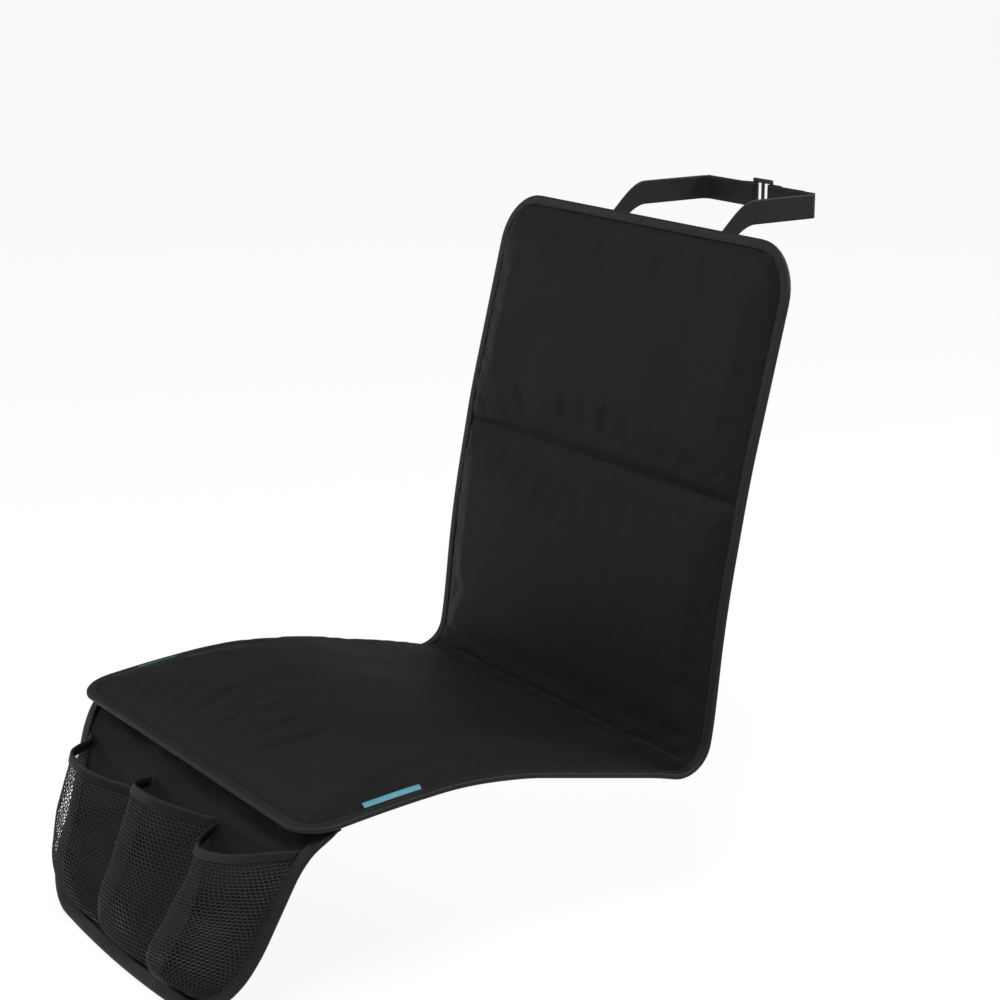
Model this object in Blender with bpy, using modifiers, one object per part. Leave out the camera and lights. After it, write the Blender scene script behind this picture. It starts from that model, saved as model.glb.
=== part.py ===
"""Car seat protector mat with a padded seat and back, a front flap and net pockets.

The mat is modelled as it lies on a car seat. Every cloth piece is drawn flat in
(x, s, h) and then laid along a side profile: x runs across the mat, s along it, and
h is the height over the underside. wrap() lays the seat and back, drape() the flap.
On the flap s is 0 at the lower edge and FLAP_LENGTH at the fold.
"""

import math

import bmesh
import bpy
from mathutils import Vector

# Mat, in metres
MAT_WIDTH = 0.480
SEAT_LENGTH = 0.414
BACK_LENGTH = 0.489
FRONT_CORNER_RADIUS = 0.038
TOP_CORNER_RADIUS = 0.055
CREASE_RADIUS = 0.034
BACK_SEAM_HEIGHT = 0.235

# Front flap
FLAP_LENGTH = 0.222
FLAP_FOLD_INSET = 0.039
FLAP_SIDE_STEP = 0.0027
FLAP_BOTTOM_WIDTH = 0.3724
FLAP_CORNER_RADIUS = 0.057
FLAP_BOW = 0.0106
FLAP_OVERLAP = 0.030
FLAP_SEWN_RAMP = 0.010
FLAP_SEWN_INSET = 0.004

# Layers
FACE_CLOTH = 0.0012
BACKING = 0.0010
PAD = 0.007
TAPE = 0.0010
NET = 0.0012
GAP = 0.0003

# Sewing
BINDING_WIDTH = 0.009
FLAP_BINDING_WIDTH = 0.012
BORDER_MARGIN = 0.0155
BORDER_LIFT = 0.0006
PAD_SLOPE = 0.011
FOAM_CLEARANCE = 0.003
CREASE_SEAM_WIDTH = 0.016
BACK_SEAM_WIDTH = 0.004
BUTT_JOINT = 0.0006

# Colour strips beside the binding
ACCENT_WIDTH = 0.0045
ACCENT_LENGTH = 0.060
ACCENT_START = 0.067

# Net pockets
POCKET_SEAM_GAP = 0.0026
DIVIDER_TOP = 0.072
DIVIDER_BOTTOM = 0.062
POCKET_SPACING = 0.0052
LEFT_POCKET_DEPTH = 0.0515
RIGHT_POCKET_DEPTH = 0.053
MIDDLE_POCKET_DEPTH = 0.0475
POCKET_ROUND = 0.070
OUTER_HEM_DROP = 0.050
INNER_HEM_DROP = 0.070
HEM_WIDTH = 0.009
NET_STRAND = 0.0032
NET_COLUMNS = 5
NET_ROWS = 5

# Headrest strap
WEBBING_WIDTH = 0.025
WEBBING = 0.0015
STRAP_DROP = 0.036
STRAP_SEWN_START = 0.034
POST_SPACING = 0.166
POST_RADIUS = 0.007
STRAP_REACH = 0.151
STRAP_RISE = 0.046
STRAP_FOLD_LENGTH = 0.034
STRAP_TAIL_LENGTH = 0.058
STRAP_CORNER_RADIUS = 0.013

# Strap slider
SLIDER_BAR = 0.004
SLIDER_SLOT = 0.0095
SLIDER_THICKNESS = 0.003
SLIDER_FRAME = 0.0045
SLIDER_ROUNDING = 0.0008

# Directions of travel along the profile in degrees over the horizontal, at shares of a panel
FLAP_CURVE = ((0.0, 63), (0.13, 60), (0.26, 59), (0.42, 70), (0.68, 70), (0.81, 56), (0.87, 41),
              (0.95, 38), (1.0, 8))
SEAT_CURVE = ((0.0, 8), (0.22, 5), (0.34, 3), (0.46, -5), (0.55, -8), (0.62, -12.5),
              (0.92, -12.5), (1.0, -17))
BACK_CURVE = ((0.0, 79), (0.06, 83), (0.14, 84), (0.26, 81.5), (0.38, 79), (0.48, 79), (0.60, 76),
              (1.0, 76))
SEAT_REST_SHARE = 0.75
BACK_REST_SHARE = 0.43

# Places along the profile
FLAP_TOP_WIDTH = MAT_WIDTH - 2 * FLAP_SIDE_STEP
SEAT_START = FLAP_LENGTH - FLAP_FOLD_INSET
SEAT_END = SEAT_START + SEAT_LENGTH
CREASE_TURN = math.radians(BACK_CURVE[0][1] - SEAT_CURVE[-1][1])
CREASE_LENGTH = CREASE_RADIUS * CREASE_TURN
CREASE_MIDDLE = SEAT_END + CREASE_LENGTH / 2
BACK_START = SEAT_END + CREASE_LENGTH
BACK_SEAM = BACK_START + BACK_SEAM_HEIGHT
MAT_TOP = BACK_START + BACK_LENGTH
SEAT_REST = SEAT_START + SEAT_LENGTH * SEAT_REST_SHARE
BACK_REST = BACK_START + BACK_LENGTH * BACK_REST_SHARE

# Heights of the layers over the underside
BACKING_LEVEL = BACKING / 2
EDGE_LEVEL = BACKING + BORDER_LIFT + GAP + FACE_CLOTH / 2
FOAM_LEVEL = BACKING + GAP + PAD / 2
PADDED_LEVEL = BACKING + PAD + 2 * GAP + FACE_CLOTH / 2
EDGE_TOP = BACKING + BORDER_LIFT + GAP + FACE_CLOTH
SEWN_LEVEL = -GAP - FACE_CLOTH / 2
FLAP_TOP = -2 * TAPE - NET - 4 * GAP
FLAP_LEVEL = FLAP_TOP - FACE_CLOTH / 2
FLAP_BOTTOM = FLAP_TOP - FACE_CLOTH
NET_LEVEL = FLAP_TOP + GAP + NET / 2
FOAM_INSET = BORDER_MARGIN + PAD_SLOPE + FOAM_CLEARANCE
POCKET_INSET = FLAP_BINDING_WIDTH + POCKET_SEAM_GAP

PROFILE_STEP = 0.001
LONGEST_ROW = 0.036
LARGEST_SAG = 0.00016
CLOSEST_ROWS = 0.003

PARTS = "car_seat_protector_mat"
CUTTERS = "cutters"


def interpolate(table, value):
    """Read a table of (place, result) pairs."""
    for (low, first), (high, last) in zip(table, table[1:]):
        if value <= high:
            return first + (last - first) * (value - low) / (high - low)
    return table[-1][1]


def mat_heading(s):
    """Direction of travel along the seat and back, in degrees over the horizontal."""
    if s < SEAT_END:
        return interpolate(SEAT_CURVE, (s - SEAT_START) / SEAT_LENGTH)
    if s < BACK_START:
        share = (s - SEAT_END) / CREASE_LENGTH
        return SEAT_CURVE[-1][1] + math.degrees(CREASE_TURN) * share
    return interpolate(BACK_CURVE, min(1.0, (s - BACK_START) / BACK_LENGTH))


def flap_heading(s):
    """Direction of travel up the flap; past the fold it lies along the seat."""
    return interpolate(FLAP_CURVE, s / FLAP_LENGTH) if s < FLAP_LENGTH else mat_heading(s)


class Profile:
    """A side profile, walked in small steps from its start."""

    def __init__(self, heading, start, end):
        self.heading = heading
        self.start = start
        self.points = [Vector((0.0, 0.0))]
        for index in range(math.ceil((end - start) / PROFILE_STEP) + 1):
            angle = math.radians(heading(start + (index + 0.5) * PROFILE_STEP))
            step = PROFILE_STEP * Vector((math.cos(angle), math.sin(angle)))
            self.points.append(self.points[-1] + step)

    def put(self, s, place):
        """Move the profile so that its point at s lies at a given (y, z)."""
        shift = place - self.point(s)
        self.points = [point + shift for point in self.points]

    def point(self, s):
        """Place on the underside in the side view, as (y, z)."""
        position = (s - self.start) / PROFILE_STEP
        index = min(max(math.floor(position), 0), len(self.points) - 2)
        return self.points[index].lerp(self.points[index + 1], position - index)

    def lay(self, x, s, h):
        """Lay a flat point along the profile."""
        foot = self.point(s)
        angle = math.radians(self.heading(s))
        return Vector((x, foot.x - h * math.sin(angle), foot.y + h * math.cos(angle)))


MAT_PROFILE = Profile(mat_heading, SEAT_START, MAT_TOP)
MAT_PROFILE.put(SEAT_REST, Vector((0.0, 0.0)))
FLAP_PROFILE = Profile(flap_heading, -FLAP_BOW, FLAP_LENGTH + FLAP_OVERLAP)
FLAP_PROFILE.put(FLAP_LENGTH, MAT_PROFILE.point(FLAP_LENGTH))


def wrap(x, s, h):
    """Lay a flat point of the seat or back along its profile."""
    return MAT_PROFILE.lay(x, s, h)


def drape(x, s, h):
    """Lay a flat point of the flap, whose lower edge is bowed downwards."""
    across = 2 * x / FLAP_BOTTOM_WIDTH
    bow = FLAP_BOW * (1 - across ** 2) * max(0.0, 1 - s / FLAP_LENGTH)
    return FLAP_PROFILE.lay(x, s - bow, h)


def travel(s):
    """Unit vector along the seat and back at s."""
    angle = math.radians(mat_heading(s))
    return Vector((0.0, math.cos(angle), math.sin(angle)))


def rows_between(profile, start, end, extras=()):
    """Places for cross rows, close together where the profile bends, with the extras kept."""
    kept = [start, end] + [place for place in extras if start < place < end]
    place = profile.start
    while place < end:
        step = PROFILE_STEP
        sag = 0.0
        while step < LONGEST_ROW and sag < LARGEST_SAG:
            step += PROFILE_STEP
            sag = step * abs(math.radians(profile.heading(place + step) - profile.heading(place))) / 8
        place += step
        clear = min(abs(place - other) for other in kept) > CLOSEST_ROWS
        if start < place < end and clear:
            kept.append(place)
    return sorted(kept)


def corner_rows(end, direction, radius):
    """Rows that follow a rounded corner, from the edge inwards."""
    angles = (0.2, 0.45, 0.75, 1.05, 1.32, math.pi / 2)
    return [end + direction * radius * (1 - math.cos(angle)) for angle in angles]


def mat_rows():
    """Cross rows that all layers of the seat and back share."""
    extras = corner_rows(SEAT_START, 1, FRONT_CORNER_RADIUS)
    extras += corner_rows(MAT_TOP, -1, TOP_CORNER_RADIUS)
    for ramp in (BORDER_MARGIN, BORDER_MARGIN + PAD_SLOPE):
        extras += [SEAT_START + ramp, MAT_TOP - ramp]
    for seam, width in ((CREASE_MIDDLE, CREASE_SEAM_WIDTH), (BACK_SEAM, BACK_SEAM_WIDTH)):
        for side in (-1, 1):
            extras += [seam + side * width / 2, seam + side * (width / 2 + PAD_SLOPE)]
    return rows_between(MAT_PROFILE, SEAT_START, MAT_TOP, extras)


def flap_rows(end):
    """Cross rows that the flap and its binding share, from the lower edge to a given end."""
    extras = corner_rows(0.0, 1, FLAP_CORNER_RADIUS) + [FLAP_LENGTH, FLAP_LENGTH + FLAP_SEWN_RAMP]
    rows = rows_between(FLAP_PROFILE, 0.0, FLAP_LENGTH + FLAP_OVERLAP, extras)
    return [s for s in rows if s <= end]


def rounded_half_width(s, start, end, half_start, half_end, radius_start, radius_end):
    """Half the width at s of an outline with straight sides and four round corners."""
    share = (s - start) / (end - start)
    half = half_start + (half_end - half_start) * share
    for distance, radius in ((s - start, radius_start), (end - s, radius_end)):
        if distance < radius:
            half -= radius - math.sqrt(max(0.0, radius ** 2 - (radius - distance) ** 2))
    return half


def mat_half_width(s):
    """Half the width of the seat and back."""
    half = MAT_WIDTH / 2
    return rounded_half_width(s, SEAT_START, MAT_TOP, half, half, FRONT_CORNER_RADIUS, TOP_CORNER_RADIUS)


def flap_half_width(s, inset=0.0):
    """Half the width of the front flap, or of the area that lies an inset inside its edge."""
    taper = (FLAP_TOP_WIDTH - FLAP_BOTTOM_WIDTH) / 2 / FLAP_LENGTH
    half = FLAP_BOTTOM_WIDTH / 2 + taper * min(s, FLAP_LENGTH) - inset * math.hypot(1.0, taper)
    end = FLAP_LENGTH + FLAP_OVERLAP
    return rounded_half_width(s, inset, end, half, half, FLAP_CORNER_RADIUS - inset, 0.0)


def slope(distance, flat):
    """0 where the cloth is sewn down flat, 1 where it lies over the padding."""
    return min(max((distance - flat) / PAD_SLOPE, 0.0), 1.0)


def face_level(x, s):
    """Height of the face cloth: sewn down at the border and at both cross seams."""
    over_pad = min(slope(mat_half_width(s) - abs(x), BORDER_MARGIN),
                   slope(min(s - SEAT_START, MAT_TOP - s), BORDER_MARGIN),
                   slope(abs(s - CREASE_MIDDLE), CREASE_SEAM_WIDTH / 2),
                   slope(abs(s - BACK_SEAM), BACK_SEAM_WIDTH / 2))
    return EDGE_LEVEL + (PADDED_LEVEL - EDGE_LEVEL) * over_pad


def collection(name):
    """Get or make a collection in the scene."""
    found = bpy.data.collections.get(name)
    if found is None:
        found = bpy.data.collections.new(name)
        bpy.context.scene.collection.children.link(found)
    return found


def material(name, colour, roughness, metallic=0.0):
    """Make a plain material."""
    made = bpy.data.materials.new(name)
    made.use_nodes = True
    shader = made.node_tree.nodes["Principled BSDF"]
    shader.inputs["Base Color"].default_value = (*colour, 1.0)
    shader.inputs["Roughness"].default_value = roughness
    shader.inputs["Metallic"].default_value = metallic
    return made


def add_part(name, mesh, finish):
    """Turn a bmesh into a named object of the mat."""
    data = bpy.data.meshes.new(name)
    mesh.to_mesh(data)
    mesh.free()
    data.materials.append(finish)
    part = bpy.data.objects.new(name, data)
    collection(PARTS).objects.link(part)
    return part


def thicken(part, thickness):
    """Give a sheet its thickness, half to each side."""
    solid = part.modifiers.new("Thickness", "SOLIDIFY")
    solid.thickness = thickness
    solid.offset = 0.0
    return part


def add_sheet(name, across, along, place, thickness, finish):
    """A piece of cloth: a grid whose corner (i, j) lies at place(across[i], along[j])."""
    mesh = bmesh.new()
    columns = len(across) - 1
    rows = len(along) - 1
    bmesh.ops.create_grid(mesh, x_segments=columns, y_segments=rows, size=0.5)
    for corner in mesh.verts:
        column = round((corner.co.x + 0.5) * columns)
        row = round((corner.co.y + 0.5) * rows)
        corner.co = place(across[column], along[row])
    part = add_part(name, mesh, finish)
    part.data.shade_smooth()
    part.data.set_sharp_from_angle(angle=math.radians(40))
    return thicken(part, thickness)


def add_face_cloth(finish):
    """The cloth of the upper side, sewn down round its border and at two cross seams."""
    insets = (0.0, BORDER_MARGIN, BORDER_MARGIN + PAD_SLOPE)

    def place(column, s):
        side, inset = column
        x = side * (mat_half_width(s) - inset) if side else 0.0
        return wrap(x, s, face_level(x, s))

    columns = [(-1, inset) for inset in insets] + [(0, 0.0)] + [(1, inset) for inset in reversed(insets)]
    return add_sheet("face_cloth", columns, mat_rows(), place, FACE_CLOTH, finish)


def add_grip_backing(finish):
    """The non-slip layer on the underside, whose sides rise a little towards the binding."""
    flat_inset = BINDING_WIDTH + 2 * GAP

    def place(column, s):
        side, inset, lift = column
        return wrap(side * (mat_half_width(s) - inset), s, BACKING_LEVEL + lift)

    left = [(-1, 0.0, BORDER_LIFT), (-1, flat_inset, 0.0)]
    right = [(1, flat_inset, 0.0), (1, 0.0, BORDER_LIFT)]
    return add_sheet("grip_backing", left + right, mat_rows(), place, BACKING, finish)


def add_foam(name, start, end, finish):
    """A foam pad that ends clear of the seams round it."""
    first = SEAT_START + FOAM_INSET
    last = MAT_TOP - FOAM_INSET
    half = MAT_WIDTH / 2 - FOAM_INSET
    extras = corner_rows(first, 1, FRONT_CORNER_RADIUS)
    extras += corner_rows(last, -1, TOP_CORNER_RADIUS)

    def place(side, s):
        width = rounded_half_width(s, first, last, half, half, FRONT_CORNER_RADIUS, TOP_CORNER_RADIUS)
        return wrap(side * width, s, FOAM_LEVEL)

    rows = rows_between(MAT_PROFILE, start, end, extras)
    return add_sheet(name, (-1, 0, 1), rows, place, PAD, finish)


def add_foams(finish):
    """The three pads: seat, lower back and upper back."""
    crease_side = CREASE_SEAM_WIDTH / 2 + PAD_SLOPE + FOAM_CLEARANCE
    seam_side = BACK_SEAM_WIDTH / 2 + PAD_SLOPE + FOAM_CLEARANCE
    add_foam("seat_foam", SEAT_START + FOAM_INSET, CREASE_MIDDLE - crease_side, finish)
    add_foam("lower_back_foam", CREASE_MIDDLE + crease_side, BACK_SEAM - seam_side, finish)
    add_foam("upper_back_foam", BACK_SEAM + seam_side, MAT_TOP - FOAM_INSET, finish)


def path_frames(points):
    """Each point of a flat path with its unit normal, which points to the left of travel."""
    frames = []
    for index, point in enumerate(points):
        before = points[max(index - 1, 0)]
        after = points[min(index + 1, len(points) - 1)]
        along = (after - before).normalized()
        frames.append((point, Vector((-along.y, along.x))))
    return frames


def folded_tape(width, low, high):
    """Section of a tape folded over an edge, as (outwards, height) of its middle line."""
    reach = GAP + TAPE / 2
    corner = TAPE / 4
    return ((-width, low - reach), (corner, low - reach), (reach + corner, (low + high) / 2),
            (corner, high + reach), (-width, high + reach))


def add_edge_binding(name, points, section, lay, finish):
    """A tape folded over an edge along a flat path of (x, s) points."""
    frames = path_frames(points)

    def place(corner, frame):
        point, outward = frame
        spot = point + corner[0] * outward
        return lay(spot.x, spot.y, corner[1])

    return add_sheet(name, section, frames, place, TAPE, finish)


def add_mat_binding(finish):
    """The tape round the seat and back, from the middle of the top edge and round to it."""
    rows = mat_rows()
    left = [Vector((-mat_half_width(s), s)) for s in reversed(rows)]
    right = [Vector((mat_half_width(s), s)) for s in rows]
    front = [Vector((0.0, SEAT_START))]
    start = [Vector((-BUTT_JOINT / 2, MAT_TOP))]
    end = [Vector((BUTT_JOINT / 2, MAT_TOP))]
    points = end + list(reversed(right)) + front + list(reversed(left)) + start
    section = folded_tape(BINDING_WIDTH, 0.0, EDGE_TOP)
    add_edge_binding("mat_binding", points, section, wrap, finish)


def add_flap(finish):
    """The front flap: one sheet that hangs from the underside, where it is sewn past its fold."""
    sewn_half = MAT_WIDTH / 2 - BINDING_WIDTH - FLAP_SEWN_INSET

    def place(side, s):
        sewn = min(max((s - FLAP_LENGTH) / FLAP_SEWN_RAMP, 0.0), 1.0)
        half = flap_half_width(s) + (sewn_half - flap_half_width(s)) * sewn
        return drape(side * half, s, FLAP_LEVEL + (SEWN_LEVEL - FLAP_LEVEL) * sewn)

    columns = (-1, -0.6, 0, 0.6, 1)
    add_sheet("flap_cloth", columns, flap_rows(FLAP_LENGTH + FLAP_OVERLAP), place, FACE_CLOTH, finish)


def add_flap_binding(finish):
    """The tape round the flap's sides and lower edge, which also holds the nets."""
    rows = flap_rows(FLAP_LENGTH)
    right = [Vector((flap_half_width(s), s)) for s in reversed(rows)]
    left = [Vector((-flap_half_width(s), s)) for s in rows]
    section = folded_tape(FLAP_BINDING_WIDTH, FLAP_BOTTOM, NET_LEVEL + NET / 2)
    lower = [Vector((share * flap_half_width(0.0), 0.0)) for share in (0.6, 0.0, -0.6)]
    add_edge_binding("flap_binding", right + lower + left, section, drape, finish)


def divider(s):
    """Distance from the middle of the flap to the seams between the pockets."""
    share = min(max(s / FLAP_LENGTH, 0.0), 1.0)
    return DIVIDER_BOTTOM + (DIVIDER_TOP - DIVIDER_BOTTOM) * share


def side_pocket(side, depth):
    """Shape of an outer pocket: places of its two sides, hem drops at them and its depth."""
    def inner(s):
        return side * (divider(s) + POCKET_SPACING / 2)

    def outer(s):
        return side * flap_half_width(s, POCKET_INSET)

    return inner, outer, INNER_HEM_DROP, OUTER_HEM_DROP, depth


def middle_pocket():
    """Shape of the middle pocket."""
    def left(s):
        return -divider(s) + POCKET_SPACING / 2

    def right(s):
        return divider(s) - POCKET_SPACING / 2

    return left, right, INNER_HEM_DROP, INNER_HEM_DROP, MIDDLE_POCKET_DEPTH


def pocket_surface(shape):
    """Return a function that gives a point of the filled net at (u across, v up)."""
    first, second, first_drop, second_drop, depth = shape

    def surface(u, v):
        top = FLAP_LENGTH - first_drop - (second_drop - first_drop) * u
        s = POCKET_INSET + (top - POCKET_INSET) * v
        share = (1 - math.cos(math.pi * u)) / 2
        x = first(s) + (second(s) - first(s)) * share
        rise = min((s - POCKET_INSET) / POCKET_ROUND, 1.0)
        fullness = math.sqrt(1 - (1 - rise) ** 2)
        return drape(x, s, NET_LEVEL + depth * fullness * math.sin(math.pi * u))

    return surface


def hem_start(shape):
    """Share of a pocket's height at which its hem starts."""
    height = FLAP_LENGTH - POCKET_INSET - (shape[2] + shape[3]) / 2
    return 1 - HEM_WIDTH / height


def add_pocket_net(name, shape, finish):
    """A net of diamond gaps under a plain strip, bulged as if the pocket were full."""
    surface = pocket_surface(shape)
    mesh = bmesh.new()
    rows = NET_ROWS + 1
    bmesh.ops.create_grid(mesh, x_segments=NET_COLUMNS, y_segments=rows, size=0.5)
    strip = 0.5 - 1 / rows
    cells = [face for face in mesh.faces if face.calc_center_median().y < strip]
    inner_edges = [edge for edge in mesh.edges if all(face in cells for face in edge.link_faces)]
    inner_edges = [edge for edge in inner_edges if not edge.is_boundary]
    bmesh.ops.poke(mesh, faces=cells)
    bmesh.ops.dissolve_edges(mesh, edges=inner_edges, use_verts=False)
    gaps = [face for face in mesh.faces if face.calc_center_median().y < strip]
    width = (surface(1.0, 1.0) - surface(0.0, 1.0)).length
    bmesh.ops.inset_individual(mesh, faces=gaps, thickness=NET_STRAND / 2 / width, use_even_offset=True)
    bmesh.ops.delete(mesh, geom=gaps, context="FACES")
    levels = ((0.0, 0.0), (NET_ROWS / rows, hem_start(shape)), (1.0, 1.0))
    for corner in mesh.verts:
        corner.co = surface(corner.co.x + 0.5, interpolate(levels, corner.co.y + 0.5))
    thicken(add_part(name, mesh, finish), NET)


def add_pocket_hem(name, shape, finish):
    """A tape folded over the plain strip at the net's upper edge."""
    surface = pocket_surface(shape)
    low = hem_start(shape)
    reach = NET / 2 + GAP + TAPE / 2
    corner = TAPE / 4
    section = ((low, 0.0, -reach), (1.0, corner, -reach), (1.0, reach - NET / 2 + corner, 0.0),
               (1.0, corner, reach), (low, 0.0, reach))

    def place(spot, column):
        v, beyond, height = spot
        u = column / NET_COLUMNS
        outward = (surface(u, 1.0) - surface(u, low)).normalized()
        before = surface(max(column - 1, 0) / NET_COLUMNS, v)
        after = surface(min(column + 1, NET_COLUMNS) / NET_COLUMNS, v)
        normal = (after - before).cross(outward).normalized()
        return surface(u, v) + beyond * outward + height * normal

    add_sheet(name, section, range(NET_COLUMNS + 1), place, TAPE, finish)


def add_pockets(net_finish, hem_finish):
    """Three net pockets and their hems."""
    shapes = {"left": side_pocket(-1, LEFT_POCKET_DEPTH), "middle": middle_pocket(),
              "right": side_pocket(1, RIGHT_POCKET_DEPTH)}
    for name, shape in shapes.items():
        add_pocket_net("pocket_net_" + name, shape, net_finish)
        add_pocket_hem("pocket_hem_" + name, shape, hem_finish)


def add_accent(name, side, finish):
    """A short colour strip sewn beside the binding near the seat's front corner."""
    near = MAT_WIDTH / 2 - BINDING_WIDTH - GAP - TAPE / 2
    start = SEAT_START + ACCENT_START
    level = EDGE_TOP + GAP + TAPE / 2

    def place(offset, s):
        return wrap(side * (near - offset), s, level)

    rows = rows_between(MAT_PROFILE, start, start + ACCENT_LENGTH)
    add_sheet(name, (0.0, ACCENT_WIDTH), rows, place, TAPE, finish)


def rounded_path(corners, radii, arc_steps=6):
    """A flat path through corners, each rounded by its radius."""
    path = [corners[0]]
    for before, corner, after, radius in zip(corners, corners[1:], corners[2:], radii):
        arrive = (corner - before).normalized()
        leave = (after - corner).normalized()
        turn = arrive.angle(leave)
        cut = radius * math.tan(turn / 2)
        start = corner - cut * arrive
        centre = start + radius * (leave - arrive * arrive.dot(leave)).normalized()
        for step in range(arc_steps + 1):
            angle = turn * step / arc_steps
            path.append(centre + (start - centre) * math.cos(angle) + radius * math.sin(angle) * arrive)
    path.append(corners[-1])
    return path


def add_strap(name, side, end_length, finish):
    """One half of the headrest strap: sewn to the back, round a post and through the slider."""
    strap_row = MAT_TOP - STRAP_DROP
    sewn = wrap(0.0, strap_row, -GAP - WEBBING / 2)
    wrap_radius = POST_RADIUS + GAP + WEBBING / 2
    side_x = POST_SPACING / 2 + wrap_radius
    front = sewn.y
    rear = front + STRAP_REACH + wrap_radius
    bar = SLIDER_BAR / 2 + SLIDER_SLOT
    bar_radius = math.hypot(SLIDER_BAR, SLIDER_THICKNESS) / 2 + GAP + WEBBING / 2
    turn_x = bar + SLIDER_BAR / 2 - bar_radius
    fold = rear + 2 * bar_radius
    close = rear + WEBBING + GAP * 2
    corners = [Vector((STRAP_SEWN_START, front)), Vector((side_x, front)), Vector((side_x, rear)),
               Vector((turn_x, rear)), Vector((turn_x, fold)),
               Vector((bar + SLIDER_BAR + 2 * bar_radius, fold)),
               Vector((bar + SLIDER_BAR + 5 * bar_radius, close)),
               Vector((bar + SLIDER_BAR + 5 * bar_radius + end_length, close))]
    radii = (STRAP_CORNER_RADIUS, wrap_radius, bar_radius * 0.98, bar_radius * 0.98, bar_radius, bar_radius)
    path = rounded_path(corners, radii)
    lean = travel(strap_row)
    upright = Vector((0.0, 0.0, 1.0))

    def place(edge, spot):
        share = min(max((spot.y - front) / (STRAP_REACH / 2), 0.0), 1.0)
        eased = share * share * (3 - 2 * share)
        middle = Vector((side * spot.x, spot.y, sewn.z + STRAP_RISE * eased))
        return middle + edge * lean.lerp(upright, eased).normalized()

    half = WEBBING_WIDTH / 2
    add_sheet(name, (-half, half), path, place, WEBBING, finish)


def add_box(name, size, centre, group):
    """A box of a given size and place."""
    mesh = bmesh.new()
    bmesh.ops.create_cube(mesh, size=1.0)
    bmesh.ops.scale(mesh, vec=size, verts=mesh.verts)
    bmesh.ops.translate(mesh, vec=centre, verts=mesh.verts)
    data = bpy.data.meshes.new(name)
    mesh.to_mesh(data)
    mesh.free()
    box = bpy.data.objects.new(name, data)
    collection(group).objects.link(box)
    return box


def add_slider(finish):
    """The plastic slider that joins the two strap halves behind the posts."""
    sewn = wrap(0.0, MAT_TOP - STRAP_DROP, -GAP - WEBBING / 2)
    wrap_radius = POST_RADIUS + GAP + WEBBING / 2
    bar_radius = math.hypot(SLIDER_BAR, SLIDER_THICKNESS) / 2 + GAP + WEBBING / 2
    centre = Vector((0.0, sewn.y + STRAP_REACH + wrap_radius + bar_radius, sewn.z + STRAP_RISE))
    slot_height = WEBBING_WIDTH + 4 * GAP
    length = 3 * SLIDER_BAR + 2 * SLIDER_SLOT
    height = slot_height + 2 * SLIDER_FRAME
    slider = add_box("strap_slider", (length, SLIDER_THICKNESS, height), centre, PARTS)
    slider.data.materials.append(finish)
    for side, name in ((-1, "left"), (1, "right")):
        offset = Vector((side * (SLIDER_BAR + SLIDER_SLOT) / 2, 0.0, 0.0))
        cutter = add_box("slot_" + name, (SLIDER_SLOT, 2 * SLIDER_THICKNESS, slot_height),
                         centre + offset, CUTTERS)
        cutter.hide_render = True
        cutter.display_type = "WIRE"
        slot = slider.modifiers.new("Slot " + name, "BOOLEAN")
        slot.operation = "DIFFERENCE"
        slot.object = cutter
    rounding = slider.modifiers.new("Rounding", "BEVEL")
    rounding.width = SLIDER_ROUNDING
    rounding.segments = 1


def clear_scene():
    """Remove what is in the scene."""
    for thing in list(bpy.data.objects):
        bpy.data.objects.remove(thing, do_unlink=True)


def main():
    """Build the mat."""
    clear_scene()
    oxford = material("black_oxford_cloth", (0.014, 0.014, 0.017), 0.75)
    grip = material("grip_mesh", (0.012, 0.012, 0.012), 0.9)
    foam = material("foam", (0.08, 0.08, 0.085), 0.95)
    tape = material("binding_tape", (0.011, 0.011, 0.013), 0.55)
    mesh = material("net", (0.010, 0.010, 0.012), 0.6)
    accent = material("teal_strip", (0.10, 0.30, 0.36), 0.5)
    webbing = material("webbing", (0.012, 0.012, 0.013), 0.7)
    plastic = material("slider_plastic", (0.012, 0.012, 0.012), 0.4)
    add_face_cloth(oxford)
    add_foams(foam)
    add_grip_backing(grip)
    add_mat_binding(tape)
    add_flap(oxford)
    add_flap_binding(tape)
    add_pockets(mesh, tape)
    add_accent("accent_strip_left", -1, accent)
    add_accent("accent_strip_right", 1, accent)
    add_strap("headrest_strap_left", -1, STRAP_TAIL_LENGTH, webbing)
    add_strap("headrest_strap_right", 1, STRAP_FOLD_LENGTH, webbing)
    add_slider(plastic)


main()
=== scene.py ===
"""Looks of a car seat protector mat: cloth, pads, bindings, net pockets and strap.

The cloth pieces are drawn flat in (x, s, h) and laid along the same side profile as
the solids: x across, s along, h over the underside, all in metres.
"""

import math

import bpy
import numpy as np
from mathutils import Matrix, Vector, noise


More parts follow.
